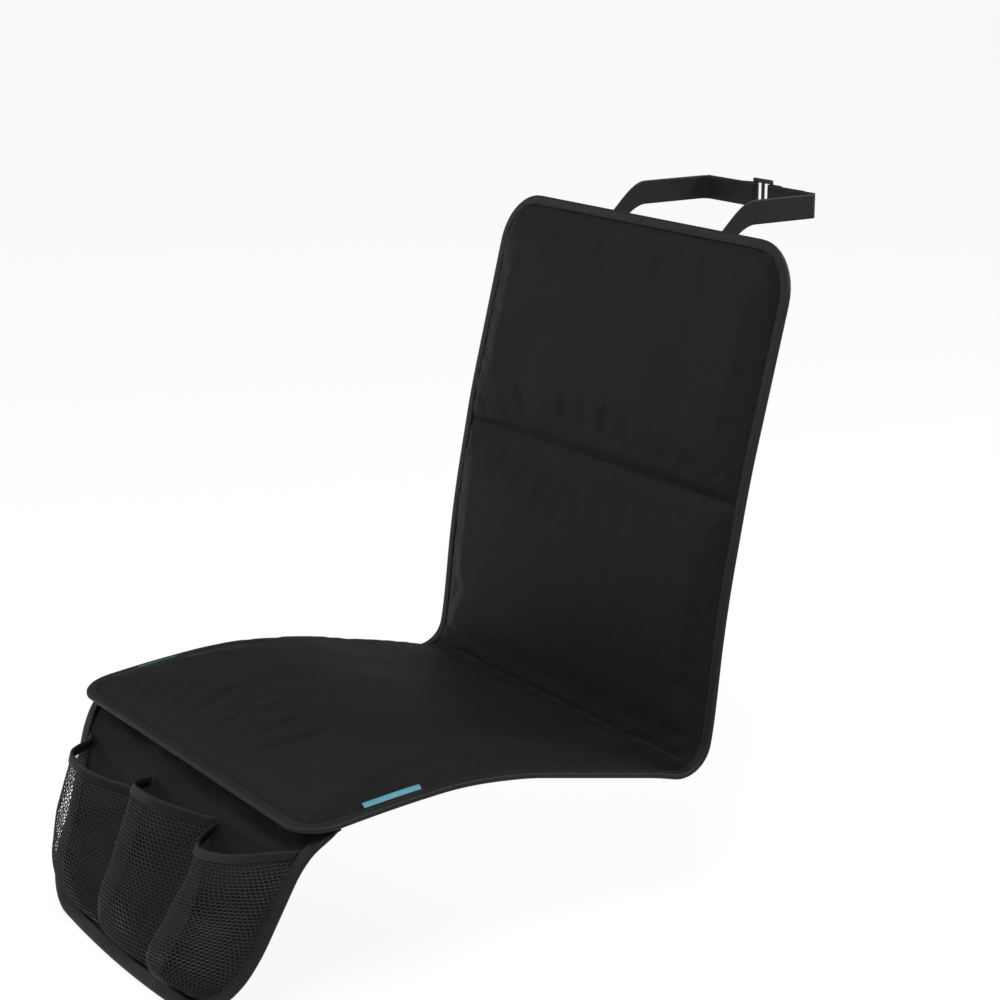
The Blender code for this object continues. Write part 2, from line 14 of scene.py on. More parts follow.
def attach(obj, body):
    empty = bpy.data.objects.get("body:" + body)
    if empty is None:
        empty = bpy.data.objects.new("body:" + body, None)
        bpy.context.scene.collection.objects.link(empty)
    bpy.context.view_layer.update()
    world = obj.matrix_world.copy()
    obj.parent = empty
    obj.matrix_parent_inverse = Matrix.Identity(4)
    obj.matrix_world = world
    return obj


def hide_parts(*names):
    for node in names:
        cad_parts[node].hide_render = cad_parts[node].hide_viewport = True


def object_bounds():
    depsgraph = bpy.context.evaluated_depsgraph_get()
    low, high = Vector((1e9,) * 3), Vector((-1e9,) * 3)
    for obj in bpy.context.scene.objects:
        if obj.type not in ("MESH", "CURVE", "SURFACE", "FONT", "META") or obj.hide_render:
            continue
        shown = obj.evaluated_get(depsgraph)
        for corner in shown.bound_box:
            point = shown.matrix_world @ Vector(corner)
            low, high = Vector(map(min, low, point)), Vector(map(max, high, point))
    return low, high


bl_info = {
    "name": "Car Seat Protector Mat",
    "version": (1, 0, 0),
    "blender": (4, 5, 0),
    "location": "3D View > Sidebar > Seat Mat",
    "description": "Builds the cloth, net pockets, bindings and strap of a seat protector mat",
    "category": "Object",
}

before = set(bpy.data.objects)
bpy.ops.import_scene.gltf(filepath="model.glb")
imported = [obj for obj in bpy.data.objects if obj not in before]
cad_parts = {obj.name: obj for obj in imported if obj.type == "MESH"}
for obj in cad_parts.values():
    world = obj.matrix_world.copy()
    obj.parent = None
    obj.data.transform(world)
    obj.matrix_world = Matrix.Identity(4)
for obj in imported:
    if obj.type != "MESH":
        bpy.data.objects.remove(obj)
CAD_BOX = [list(corner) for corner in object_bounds()]

# Cut of the pieces, as in the solids
MAT_WIDTH = 0.480
SEAT_LENGTH = 0.414
BACK_LENGTH = 0.489
FRONT_RADIUS = 0.038
TOP_RADIUS = 0.055
CREASE_RADIUS = 0.034
BACK_SEAM_HEIGHT = 0.235
FLAP_LENGTH = 0.222
FOLD_INSET = 0.039
FLAP_TOP_WIDTH = 0.4746
FLAP_BOTTOM_WIDTH = 0.3724
FLAP_RADIUS = 0.057
FLAP_BOW = 0.0106
FLAP_OVERLAP = 0.030
FLAP_SEWN_RAMP = 0.010
FLAP_SEWN_INSET = 0.004
FACE_CLOTH = 0.0012
BACKING = 0.0010
PAD = 0.007
TAPE = 0.0010
NET = 0.0012
GAP = 0.0003
BORDER_LIFT = 0.0006
BINDING_WIDTH = 0.009
FLAP_BINDING_WIDTH = 0.012
POCKET_SEAM_GAP = 0.0026
POCKET_SPACING = 0.0052
DIVIDER_TOP = 0.072
DIVIDER_BOTTOM = 0.062
ACCENT_START = 0.067
ACCENT_LENGTH = 0.060
ACCENT_WIDTH = 0.0045
ACCENT_THICKNESS = 0.0008
ACCENT_CROWN = 0.0003
PAD_INSET = 0.0295
PAD_CREASE_INSET = 0.022
PAD_SEAM_INSET = 0.016
PAD_ROUNDING = 0.004
FLAP_CURVE = ((0.0, 63), (0.13, 60), (0.26, 59), (0.42, 70), (0.68, 70), (0.81, 56), (0.87, 41),
              (0.95, 38), (1.0, 8))
SEAT_CURVE = ((0.0, 8), (0.22, 5), (0.34, 3), (0.46, -5), (0.55, -8), (0.62, -12.5),
              (0.92, -12.5), (1.0, -17))
BACK_CURVE = ((0.0, 79), (0.06, 83), (0.14, 84), (0.26, 81.5), (0.38, 79), (0.48, 79), (0.60, 76),
              (1.0, 76))
SEAT_REST_SHARE = 0.75

SEAT_START = FLAP_LENGTH - FOLD_INSET
SEAT_END = SEAT_START + SEAT_LENGTH
CREASE_TURN = BACK_CURVE[0][1] - SEAT_CURVE[-1][1]
CREASE_LENGTH = CREASE_RADIUS * math.radians(CREASE_TURN)
CREASE_MIDDLE = SEAT_END + CREASE_LENGTH / 2
BACK_START = SEAT_END + CREASE_LENGTH
BACK_SEAM = BACK_START + BACK_SEAM_HEIGHT
MAT_TOP = BACK_START + BACK_LENGTH
MAT_LENGTH = MAT_TOP - SEAT_START
MAT_AREA = MAT_WIDTH * MAT_LENGTH - (1 - math.pi / 4) * 2 * (FRONT_RADIUS ** 2 + TOP_RADIUS ** 2)
SEAT_REST = SEAT_START + SEAT_LENGTH * SEAT_REST_SHARE

EDGE_LEVEL = BACKING + BORDER_LIFT + GAP + FACE_CLOTH / 2
PAD_TOP = BACKING + PAD + GAP
EDGE_TOP = BACKING + BORDER_LIFT + GAP + FACE_CLOTH
SEWN_LEVEL = -GAP - FACE_CLOTH / 2
FLAP_TOP = -2 * TAPE - NET - 4 * GAP
FLAP_LEVEL = FLAP_TOP - FACE_CLOTH / 2
NET_LEVEL = FLAP_TOP + GAP + NET / 2
NET_INSET = FLAP_BINDING_WIDTH + POCKET_SEAM_GAP

# Places that the strap is laid by
WEBBING_WIDTH = 0.025
WEBBING = 0.0015
STRAP_DROP = 0.036
STRAP_SEWN_START = 0.034
POST_SPACING = 0.166
POST_RADIUS = 0.007
STRAP_REACH = 0.151
STRAP_RISE = 0.046
STRAP_CORNER_RADIUS = 0.013
STRAP_TAIL_LENGTH = 0.058
STRAP_FOLD_LENGTH = 0.034
SLIDER_BAR = 0.004
SLIDER_SLOT = 0.0095
SLIDER_THICKNESS = 0.003

# How the cloth gives way
FACE_ROWS = 149
FACE_COLUMNS = 75
CREASE_SEWN = 0.0015
SEAM_SEWN = 0.0010
EDGE_RISE = 0.020
CREASE_RISE = 0.021
SEAM_RISE = 0.017
FACE_SWELL = 0.0009
PAD_CLEARANCE = 0.0012
MOST_SINK = 0.0004
MOST_SLIDE = 0.003
TUCK = 0.004
TUCK_LENGTH = 0.014
NET_ROWS = 81
NET_COLUMNS = 61
HEM_STEPS = 141
HEM_HALF = 0.0053
HEM_THICK = 0.0021
TAPE_UNEVEN = 0.0005
TAPE_PUCKER = 0.00022
STITCH_INSET = 0.0019
STITCH_SIDES = 6
STITCH_RINGS = ((0.2, 0.85), (0.5, 1.0), (0.8, 0.85))
ON_CLOTH = 0.0001
CLOTH_SETTINGS = {
    "quality": 5, "mass": 0.25, "tension_stiffness": 18, "compression_stiffness": 12,
    "shear_stiffness": 6, "bending_stiffness": 0.4, "tension_damping": 8, "compression_damping": 8,
    "air_damping": 4, "vertex_group_mass": "sewn", "use_pressure": True,
}

FLOOR_GAP = 0.003
FLOOR_HALF = 40.0
# Name, place, target, size and power of each lamp
LAMPS = (("key_lamp", (1.6, -1.2, 2.6), (0.0, 0.0, 0.1), 0.9, 120.0),
         ("fill_lamp", (-2.2, -1.8, 1.6), (0.0, -0.1, 0.0), 1.6, 34.0),
         ("rim_lamp", (0.6, 2.6, 2.0), (0.0, 0.1, 0.2), 1.2, 90.0))


class Profile:
    """A side profile as tables of places and headings."""

    def __init__(self, heading, start, end):
        step = 0.0005
        self.s = start + step * np.arange(math.ceil((end - start) / step) + 2)
        middle = np.radians(heading(self.s[:-1] + step / 2))
        self.y = np.concatenate([[0.0], np.cumsum(step * np.cos(middle))])
        self.z = np.concatenate([[0.0], np.cumsum(step * np.sin(middle))])
        self.angle = np.radians(heading(self.s))

    def put(self, s, y, z):
        """Move the profile so that its point at s lies at (y, z)."""
        self.y = self.y + y - np.interp(s, self.s, self.y)
        self.z = self.z + z - np.interp(s, self.s, self.z)

    def lay(self, x, s, h):
        """Lay flat points along the profile."""
        x, s, h = np.broadcast_arrays(x, s, h)
        angle = np.interp(s, self.s, self.angle)
        y = np.interp(s, self.s, self.y) - h * np.sin(angle)
        z = np.interp(s, self.s, self.z) + h * np.cos(angle)
        return np.stack([x, y, z], -1)


def read_curve(curve, share):
    """Headings in degrees at shares of a panel."""
    return np.interp(share, [place for place, _ in curve], [degrees for _, degrees in curve])


def mat_heading(s):
    """Direction of travel along the seat and back, in degrees."""
    crease = SEAT_CURVE[-1][1] + CREASE_TURN * (s - SEAT_END) / CREASE_LENGTH
    back = read_curve(BACK_CURVE, (s - BACK_START) / BACK_LENGTH)
    seat = read_curve(SEAT_CURVE, (s - SEAT_START) / SEAT_LENGTH)
    return np.where(s < SEAT_END, seat, np.where(s < BACK_START, crease, back))


def flap_heading(s):
    """Direction of travel up the flap, in degrees."""
    return np.where(s < FLAP_LENGTH, read_curve(FLAP_CURVE, s / FLAP_LENGTH), mat_heading(s))


MAT = Profile(mat_heading, SEAT_START - 0.02, MAT_TOP + 0.02)
MAT.put(SEAT_REST, 0.0, 0.0)
FLAP = Profile(flap_heading, -0.03, FLAP_LENGTH + FLAP_OVERLAP)
FLAP.put(FLAP_LENGTH, np.interp(FLAP_LENGTH, MAT.s, MAT.y), np.interp(FLAP_LENGTH, MAT.s, MAT.z))


def wrap(x, s, h):
    """Lay flat points of the seat and back."""
    return MAT.lay(x, s, h)


def drape(x, s, h):
    """Lay flat points of the flap, whose lower edge is bowed downwards."""
    across = 2 * np.asarray(x) / FLAP_BOTTOM_WIDTH
    bow = FLAP_BOW * (1 - across ** 2) * np.maximum(0.0, 1 - np.asarray(s) / FLAP_LENGTH)
    return FLAP.lay(x, s - bow, h)


def corner_loss(distance, radius):
    """How far a rounded corner draws the side in, at a distance from the end."""
    inside = np.clip(distance, 0.0, radius)
    return radius - np.sqrt(np.maximum(0.0, radius ** 2 - (radius - inside) ** 2))


def mat_half(s):
    """Half the width of the seat and back."""
    s = np.asarray(s, float)
    return MAT_WIDTH / 2 - corner_loss(s - SEAT_START, FRONT_RADIUS) - corner_loss(MAT_TOP - s, TOP_RADIUS)


def flap_half(s, inset=0.0):
    """Half the width of the flap, or of the area an inset inside it."""
    s = np.asarray(s, float)
    taper = (FLAP_TOP_WIDTH - FLAP_BOTTOM_WIDTH) / 2 / FLAP_LENGTH
    half = FLAP_BOTTOM_WIDTH / 2 + taper * np.minimum(s, FLAP_LENGTH) - inset * math.hypot(1.0, taper)
    return half - corner_loss(s - inset, FLAP_RADIUS - inset)


def smooth(value):
    """Ease from 0 to 1."""
    value = np.clip(value, 0.0, 1.0)
    return value * value * (3 - 2 * value)


def puff(value):
    """Rise steeply from 0 and round over to 1, like cloth blown up from a seam."""
    value = np.clip(value, 0.0, 1.0)
    return 1 - (1 - value) ** 2.4


def unit(vectors):
    """Vectors brought to length 1."""
    return vectors / np.maximum(np.linalg.norm(vectors, axis=-1, keepdims=True), 1e-12)


def ripple(points, size, seed):
    """Soft noise from -1 to 1 at flat points."""
    flat = np.asarray(points, float).reshape(-1, 2) / size
    values = [noise.noise(Vector((u + seed * 17.3, v - seed * 9.1, seed * 3.7))) for u, v in flat]
    return np.array(values).reshape(np.asarray(points).shape[:-1])


def ripple_along(run, size, seed):
    """Soft noise along a line."""
    return ripple(np.stack([run, run * 0], -1), size, seed)


def add_mesh(name, points, faces, uv=None, smooth_faces=True):
    """Make a piece from points, faces and flat places in metres."""
    mesh = bpy.data.meshes.new(name)
    mesh.from_pydata([tuple(point) for point in np.asarray(points, float)], [], faces)
    if uv is not None:
        layer = mesh.uv_layers.new(name="flat")
        corners = np.zeros(len(mesh.loops), dtype=np.int64)
        mesh.loops.foreach_get("vertex_index", corners)
        layer.data.foreach_set("uv", np.asarray(uv, float)[corners].ravel())
    if smooth_faces:
        mesh.shade_smooth()
    piece = bpy.data.objects.new(name, mesh)
    bpy.context.scene.collection.objects.link(piece)
    return piece


def grid_faces(rows, columns, closed=False):
    """Quads of a grid whose columns may close round."""
    faces = []
    last = columns if closed else columns - 1
    for row in range(rows - 1):
        for column in range(last):
            after = (column + 1) % columns
            faces.append((row * columns + column, row * columns + after,
                          (row + 1) * columns + after, (row + 1) * columns + column))
    return faces


def add_grid(name, points, uv, closed=False):
    """Make a piece from an array of rows and columns of points."""
    rows, columns = points.shape[:2]
    flat = np.broadcast_to(uv, (rows, columns, 2)).reshape(-1, 2)
    return add_mesh(name, points.reshape(-1, 3), grid_faces(rows, columns, closed), flat)


def thicken(piece, thickness):
    """Give a sheet its thickness, half on each side."""
    solid = piece.modifiers.new("Thickness", "SOLIDIFY")
    solid.thickness = thickness
    solid.offset = 0.0
    return piece


def apply_modifiers(piece):
    """Bake a piece's modifiers into its mesh."""
    graph = bpy.context.evaluated_depsgraph_get()
    mesh = bpy.data.meshes.new_from_object(piece.evaluated_get(graph))
    piece.modifiers.clear()
    piece.data = mesh
    return piece


def finish_piece(piece, material, slot, *nodes):
    """Put a material on a piece, let it ride with the mat and stand for its solids."""
    piece.data.materials.clear()
    piece.data.materials.append(material)
    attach(piece, "root")
    if nodes:
        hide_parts(*nodes)
    return piece


class Value:
    """A shader value that takes part in Python expressions."""

    def __init__(self, shader, socket):
        self.shader = shader
        self.socket = socket

    def output(self, key):
        """Another output of the same node."""
        return Value(self.shader, self.socket.node.outputs[key])

    def maths(self, operation, *others):
        """One Math node on this value."""
        return self.shader.node("ShaderNodeMath", {"operation": operation}, [self, *others])

    def __add__(self, other):
        return self.maths("ADD", other)

    def __mul__(self, other):
        return self.maths("MULTIPLY", other)

    def __sub__(self, other):
        return self.maths("SUBTRACT", other)

    def __truediv__(self, other):
        return self.maths("DIVIDE", other)

    def __pow__(self, other):
        return self.maths("POWER", other)

    def reflected(self, operation, other):
        """One Math node with the other value first."""
        return self.shader.node("ShaderNodeMath", {"operation": operation}, [other, self])

    def __rsub__(self, other):
        return self.reflected("SUBTRACT", other)

    def __rtruediv__(self, other):
        return self.reflected("DIVIDE", other)

    def __rpow__(self, other):
        return self.reflected("POWER", other)

    __radd__ = __add__
    __rmul__ = __mul__


class Shader:
    """A material whose nodes are added by expressions."""

    def __init__(self, name):
        self.material = bpy.data.materials.new(name)
        self.material.use_nodes = True
        self.tree = self.material.node_tree
        self.surface = self.tree.nodes["Principled BSDF"]

    def node(self, kind, settings=None, inputs=(), output=0):
        """Add a node: its settings first, then the values or links of its sockets."""
        made = self.tree.nodes.new(kind)
        for key, value in (settings or {}).items():
            setattr(made, key, value)
        pairs = inputs.items() if isinstance(inputs, dict) else enumerate(inputs)
        for key, value in pairs:
            self.feed(made.inputs[key], value)
        return Value(self, made.outputs[output])

    def feed(self, socket, value):
        """Link a value or set a number."""
        if isinstance(value, Value):
            self.tree.links.new(value.socket, socket)
        else:
            socket.default_value = value

    def flat(self):
        """The flat place on the cloth, in metres: across, along and both."""
        place = self.node("ShaderNodeUVMap", {"uv_map": "flat"})
        across = self.node("ShaderNodeSeparateXYZ", inputs=[place])
        return across, across.output(1), place

    def noise(self, place, scale, detail=2.0):
        """Soft noise at a place."""
        return self.node("ShaderNodeTexNoise", inputs={"Vector": place, "Scale": scale, "Detail": detail})

    def mixed(self, share, first, second):
        """Colour between two colours."""
        colours = {0: share, 6: (*first, 1.0), 7: (*second, 1.0)}
        return self.node("ShaderNodeMix", {"data_type": "RGBA"}, colours, output=2)

    def bump(self, height, distance):
        """Feed a height in 0..1 to the surface's normal."""
        inputs = {"Height": height, "Distance": distance, "Strength": 1.0}
        self.set(Normal=self.node("ShaderNodeBump", inputs=inputs))

    def set(self, **values):
        """Set or feed the surface's own sockets."""
        for key, value in values.items():
            self.feed(self.surface.inputs[key.replace("_", " ")], value)


def shade(tint, factor):
    """A darker or lighter tint."""
    return tuple(channel * factor for channel in tint)


def thread_rows(place, pitch):
    """Rounded thread tops from 0 to 1 at a pitch."""
    return (place * (math.pi / pitch)).maths("SINE").maths("ABSOLUTE")


def woven_cloth(name, dark, light, pitch, depth, roughness):
    """A plain weave with over and under threads, slight colour drift, thread tops painted lighter as painted
    highlight, and matt sheen.
    """
    shader = Shader(name)
    across, along, place = shader.flat()
    warp = thread_rows(across, pitch)
    weft = thread_rows(along, pitch)
    count = (across / pitch).maths("FLOOR") + (along / pitch).maths("FLOOR")
    over = count.maths("MODULO", 2.0).maths("ABSOLUTE")
    crown = over * (warp ** 0.7) * (weft ** 0.35) + (1 - over) * (warp ** 0.35) * (weft ** 0.7)
    drift = shader.noise(place, 14.0, 4.0)
    fibre = shader.noise(place, 2400.0)
    # Base colour is lighter on the thread tops (crown) as painted highlight; the drift noise is random tone.
    tone = crown * 0.65 + drift * 0.45 - 0.15
    shader.bump(crown + fibre * 0.15, depth)
    shader.set(Base_Color=shader.mixed(tone, dark, light), Sheen_Weight=0.01, Sheen_Roughness=0.4,
               Roughness=roughness + 0.12 - crown * 0.2 + fibre * 0.05, Specular_IOR_Level=0.13)
    return shader.material


def ribbed_tape(name, dark, light, pitch, depth, roughness, cross=0.0016):
    """A narrow tape with cross ribs and a fine lengthwise weave, rib tops painted lighter as painted
    highlight.
    """
    shader = Shader(name)
    across, along, place = shader.flat()
    rib = thread_rows(along, pitch)
    grain = thread_rows(across, cross)
    crown = (rib ** 0.6) * (grain * 0.35 + 0.65)
    drift = shader.noise(place, 40.0, 3.0)
    # Base colour is lighter on the rib tops (crown) as painted highlight; the drift noise is random tone.
    tone = crown * 0.6 + drift * 0.5 - 0.1
    shader.bump(crown, depth)
    shader.set(Base_Color=shader.mixed(tone, dark, light), Sheen_Weight=0.01, Sheen_Roughness=0.4,
               Roughness=roughness + 0.1 - crown * 0.15 + drift * 0.06, Specular_IOR_Level=0.18)
    return shader.material


def dotted_grip(name, base, dots, pitch, size):
    """A mesh cloth with rows of raised rubber dots."""
    shader = Shader(name)
    across, along = shader.flat()[:2]
    row = (along / (pitch * 0.5)).maths("FLOOR").maths("MODULO", 2.0).maths("ABSOLUTE")
    u = ((across / pitch) + row * 0.5).maths("FRACT") - 0.5
    v = ((along / (pitch * 0.5)).maths("FRACT") - 0.5) * 0.5
    distance = (u * u + v * v).maths("SQRT") * (pitch / size)
    dot = (1 - distance * distance).maths("MAXIMUM", 0.0).maths("SQRT")
    mask = (dot * 6.0).maths("MINIMUM", 1.0)
    cloth = thread_rows(across, 0.0009) * thread_rows(along, 0.0009)
    shader.bump(dot + cloth * 0.12 * (1 - mask), 0.0006)
    shader.set(Base_Color=shader.mixed(mask, base, dots), Roughness=0.85 - mask * 0.35)
    return shader.material


def knitted_net(name, dark, light):
    """Thin knitted cord."""
    shader = Shader(name)
    place = shader.flat()[2]
    fibre = shader.noise(place, 1600.0)
    tone = fibre * 0.6 + shader.noise(place, 30.0) * 0.5 - 0.1
    shader.bump(fibre, 0.0002)
    shader.set(Base_Color=shader.mixed(tone, dark, light), Roughness=0.42 + fibre * 0.2,
               Specular_IOR_Level=0.3)
    return shader.material


def open_foam(name, colour):
    """Foam with fine pores, painted darker in their hollows as painted shade."""
    shader = Shader(name)
    place = shader.node("ShaderNodeTexCoord", output=3)
    pores = shader.node("ShaderNodeTexVoronoi", inputs={"Vector": place, "Scale": 900.0})
    shader.bump(pores, 0.0005)
    # The pore hollows are painted darker as painted shade.
    shader.set(Base_Color=shader.mixed(pores, shade(colour, 0.5), colour), Roughness=0.95)
    return shader.material


def moulded_plastic(name, colour):
    """Moulded plastic with a fine grain."""
    shader = Shader(name)
    place = shader.node("ShaderNodeTexCoord", output=3)
    grain = shader.noise(place, 1800.0)
    shader.bump(grain, 0.00012)
    shader.set(Base_Color=shader.mixed(grain, colour, shade(colour, 1.6)), Roughness=0.34 + grain * 0.14)
    return shader.material


def shared_material(name, make, *tints, **looks):
    """Reuse a material by name, or make it from its tints and looks."""
    return bpy.data.materials.get(name) or make(name, *tints, **looks)


def oxford(settings):
    """The mat's black cloth."""
    # The light tint colours the painted highlight on the thread tops and the lighter random drift.
    dark, light = shade(settings.cloth_colour, 0.45), shade(settings.cloth_colour, 1.7)
    return shared_material("Black oxford cloth", woven_cloth, dark, light,
                           pitch=settings.weave_pitch, depth=0.0006, roughness=0.55)


def binding_tape(settings):
    """The black tape of the edges and hems."""
    # The light tint colours the painted highlight on the rib tops and the lighter random drift.
    dark, light = shade(settings.tape_colour, 0.5), shade(settings.tape_colour, 1.7)
    return shared_material("Black binding tape", ribbed_tape, dark, light,
                           pitch=0.0009, depth=0.00018, roughness=0.48)


def sewing_thread(settings):
    """Black polyester thread."""
    tint = settings.thread_colour
    return shared_material("Black thread", knitted_net, tint, shade(tint, 1.8))


def rows_along(points):
    """Running length of a line of points."""
    steps = np.linalg.norm(np.diff(points, axis=0), axis=1)
    return np.concatenate([[0.0], np.cumsum(steps)])


def points_at(line, run, places):
    """Points of a line at running lengths."""
    return np.stack([np.interp(places, run, line[:, axis]) for axis in range(line.shape[1])], -1)


def resample(points, spacing=1.0, count=0):
    """Evenly spaced points along a line, by their spacing or by their count."""
    run = rows_along(points)
    count = count or max(2, int(round(run[-1] / spacing)) + 1)
    return points_at(points, run, np.linspace(0.0, run[-1], count))


def stitch_line(name, line, normals, settings):
    """A row of raised stitches along a line of points on cloth."""
    pitch, length, thick = settings.stitch_pitch, settings.stitch_length, settings.thread_thickness
    run = rows_along(line)
    count = int(run[-1] / pitch)
    points, faces, flat = [], [], []
    for index in range(count):
        ends = [(index + 0.5) * pitch - length / 2, (index + 0.5) * pitch + length / 2]
        a, b = points_at(line, run, ends)
        up = unit(points_at(normals, run, ends[0]))
        side = np.cross(up, unit(b - a))
        base = len(points)
        shares = [0.0]
        points.append(a - up * thick * 0.6)
        for share, swell in STITCH_RINGS:
            middle = a + (b - a) * share + up * thick * 0.2
            for angle in np.arange(STITCH_SIDES) * math.tau / STITCH_SIDES:
                points.append(middle + swell * thick / 2 * (math.cos(angle) * side + math.sin(angle) * up))
                shares.append(share)
        points.append(b - up * thick * 0.6)
        shares.append(1.0)
        flat += [(share * length, index * pitch) for share in shares]
        last = len(points) - 1
        for turn in range(STITCH_SIDES):
            after = (turn + 1) % STITCH_SIDES
            faces.append((base, base + 1 + after, base + 1 + turn))
            for ring in range(1, len(STITCH_RINGS)):
                high = base + 1 + ring * STITCH_SIDES
                low = high - STITCH_SIDES
                faces.append((low + turn, low + after, high + after, high + turn))
            faces.append((last - STITCH_SIDES + turn, last - STITCH_SIDES + after, last))
    piece = add_mesh(name, points, faces, flat)
    return finish_piece(piece, sewing_thread(settings), "binding_tape")


def outward_of(points, closed):
    """Outward directions, to the left of travel, of a flat path."""
    steps = np.gradient(points, axis=0)
    if closed:
        steps = np.roll(points, -1, axis=0) - np.roll(points, 1, axis=0)
    along = unit(steps)
    return np.stack([-along[:, 1], along[:, 0]], -1)


def refined(values):
    """Double a grid of values along both axes with smooth midpoints."""
    for axis in (0, 1):
        values = np.swapaxes(values, 0, axis)
        padded = np.concatenate([2 * values[:1] - values[1:2], values, 2 * values[-1:] - values[-2:-1]])
        middle = (9 * (padded[1:-2] + padded[2:-1]) - padded[:-3] - padded[3:]) / 16
        doubled = np.empty((2 * len(values) - 1,) + values.shape[1:])
        doubled[0::2] = values
        doubled[1::2] = middle
        values = np.swapaxes(doubled, 0, axis)
    return values


def normals_at(lay, x, s):
    """Unit normals of the cloth at flat points."""
    return unit(lay(x, s, 0.001) - lay(x, s, 0.0))


def seam_distances(x, s):
    """Distances from the edge, from the crease seam and from the back's cross seam."""
    edge = np.minimum(mat_half(s) - np.abs(x), np.minimum(s - SEAT_START, MAT_TOP - s))
    return edge, np.abs(s - CREASE_MIDDLE), np.abs(s - BACK_SEAM)


def face_rise(x, s):
    """0 at the sewn places and 1 over the pads."""
    edge, crease, seam = seam_distances(x, s)
    return (puff((edge - BINDING_WIDTH) / EDGE_RISE) * puff((crease - CREASE_SEWN) / CREASE_RISE)
            * puff((seam - SEAM_SEWN) / SEAM_RISE))


def face_height(x, s, crown):
    """Height of the face cloth over the underside, before it is inflated."""
    edge, crease, seam = seam_distances(x, s)
    nearest = np.minimum(edge, np.minimum(crease, seam))
    fullness = 1 - np.exp(-np.maximum(nearest, 0.0) / 0.03)
    return EDGE_LEVEL + face_rise(x, s) * (PAD_TOP + PAD_CLEARANCE - EDGE_LEVEL + crown * fullness)


def inflate(name, points, pinned, cloth):
    """Blow cloth up between its seams and return how far each point moved."""
    rows, columns = points.shape[:2]
    work = add_mesh(name, points.reshape(-1, 3), grid_faces(rows, columns))
    group = work.vertex_groups.new(name="sewn")
    held = np.flatnonzero(pinned.ravel())
    group.add([int(index) for index in held], 1.0, "REPLACE")
    modifier = work.modifiers.new("Cloth", "CLOTH")
    sewn = modifier.settings
    for key, value in CLOTH_SETTINGS.items():
        setattr(sewn, key, value)
    sewn.shrink_min = -cloth.spare_cloth
    sewn.uniform_pressure_force = cloth.pressure
    sewn.effector_weights.gravity = 0.0
    modifier.collision_settings.use_collision = False
    scene = bpy.context.scene
    modifier.point_cache.frame_start = 1
    modifier.point_cache.frame_end = cloth.frames
    for count in range(1, cloth.frames + 1):
        scene.frame_set(count)
    graph = bpy.context.evaluated_depsgraph_get()
    result = work.evaluated_get(graph).to_mesh()
    moved = np.zeros(len(result.vertices) * 3)
    result.vertices.foreach_get("co", moved)
    scene.frame_set(1)
    mesh = work.data
    bpy.data.objects.remove(work, do_unlink=True)
    bpy.data.meshes.remove(mesh)
    return moved.reshape(rows, columns, 3) - points


def mat_grid(rows, columns):
    """Flat places over the whole seat and back."""
    s = np.linspace(SEAT_START, MAT_TOP, rows)[:, None]
    x = np.linspace(-1, 1, columns)[None, :] * mat_half(s)
    return x, np.broadcast_to(s, x.shape)


def build_face(cloth):
    """The padded upper cloth, blown up between its seams and puckered along them."""
    x, s = mat_grid(FACE_ROWS, FACE_COLUMNS)
    points = wrap(x, s, face_height(x, s, cloth.crown))
    moved = np.zeros_like(points)
    moved = inflate("face_work", points, face_rise(x, s) < 0.02, cloth)
    normal = normals_at(wrap, x, s)
    lift = (moved * normal).sum(-1, keepdims=True)
    slide = moved - lift * normal
    crease = seam_distances(x, s)[1]
    most = cloth.most_lift * (0.25 + 0.75 * smooth((crease - 0.006) / 0.05))[..., None]
    moved = np.clip(lift, -MOST_SINK, most) * normal + np.clip(slide, -MOST_SLIDE, MOST_SLIDE)
    x, s = mat_grid(2 * FACE_ROWS - 1, 2 * FACE_COLUMNS - 1)
    edge, crease, seam = seam_distances(x, s)
    flat = np.stack([x, s], -1)
    near_edge = np.exp(-((edge - 0.014) / 0.007) ** 2)
    near_seam = np.exp(-((np.minimum(crease, seam) - 0.007) / 0.006) ** 2)
    pucker = ripple(flat, 0.008, 1) * near_edge + ripple(flat * [1.0, 0.4], 0.009, 2) * near_seam
    swell = ripple(flat, 0.06, 3) * face_rise(x, s)
    height = face_height(x, s, cloth.crown) + cloth.pucker * pucker + FACE_SWELL * swell
    height = np.maximum(height, EDGE_LEVEL - 0.0002)
    face = add_grid("padded_face", wrap(x, s, height) + refined(moved), flat)
    finish_piece(face, oxford(cloth), "black_oxford_cloth", "face_cloth")
    seams = [build_seam(name, place, cloth) for name, place in
             (("crease_stitches", CREASE_MIDDLE), ("back_seam_stitches", BACK_SEAM))]


def build_seam(name, place, cloth):
    """Stitches of a cross seam, in its valley."""
    x = np.linspace(-1, 1, 120) * (MAT_WIDTH / 2 - BINDING_WIDTH - 0.001)
    s = np.full_like(x, place)
    height = face_height(x, s, cloth.crown) + FACE_CLOTH / 2 + ON_CLOTH
    return stitch_line(name, wrap(x, s, height), normals_at(wrap, x, s), cloth)


def build_underside(cloth):
    """The non-slip layer, drawn in slightly along the seams."""
    x, s = mat_grid(121, 49)
    edge, crease, seam = seam_distances(x, s)
    drawn_in = np.exp(-(np.minimum(crease, seam) / 0.006) ** 2) * smooth((edge - 0.012) / 0.01)
    points = wrap(x, s, BACKING / 2 + 0.0004 * drawn_in)
    under = add_grid("grip_underside", points, np.stack([x, s], -1))
    thicken(under, BACKING)
    tint = cloth.cloth_colour
    grip = shared_material("Non-slip dotted mesh", dotted_grip, tint, shade(tint, 0.8),
                           pitch=0.006, size=0.0028)
    finish_piece(under, grip, "grip_mesh", "grip_backing")


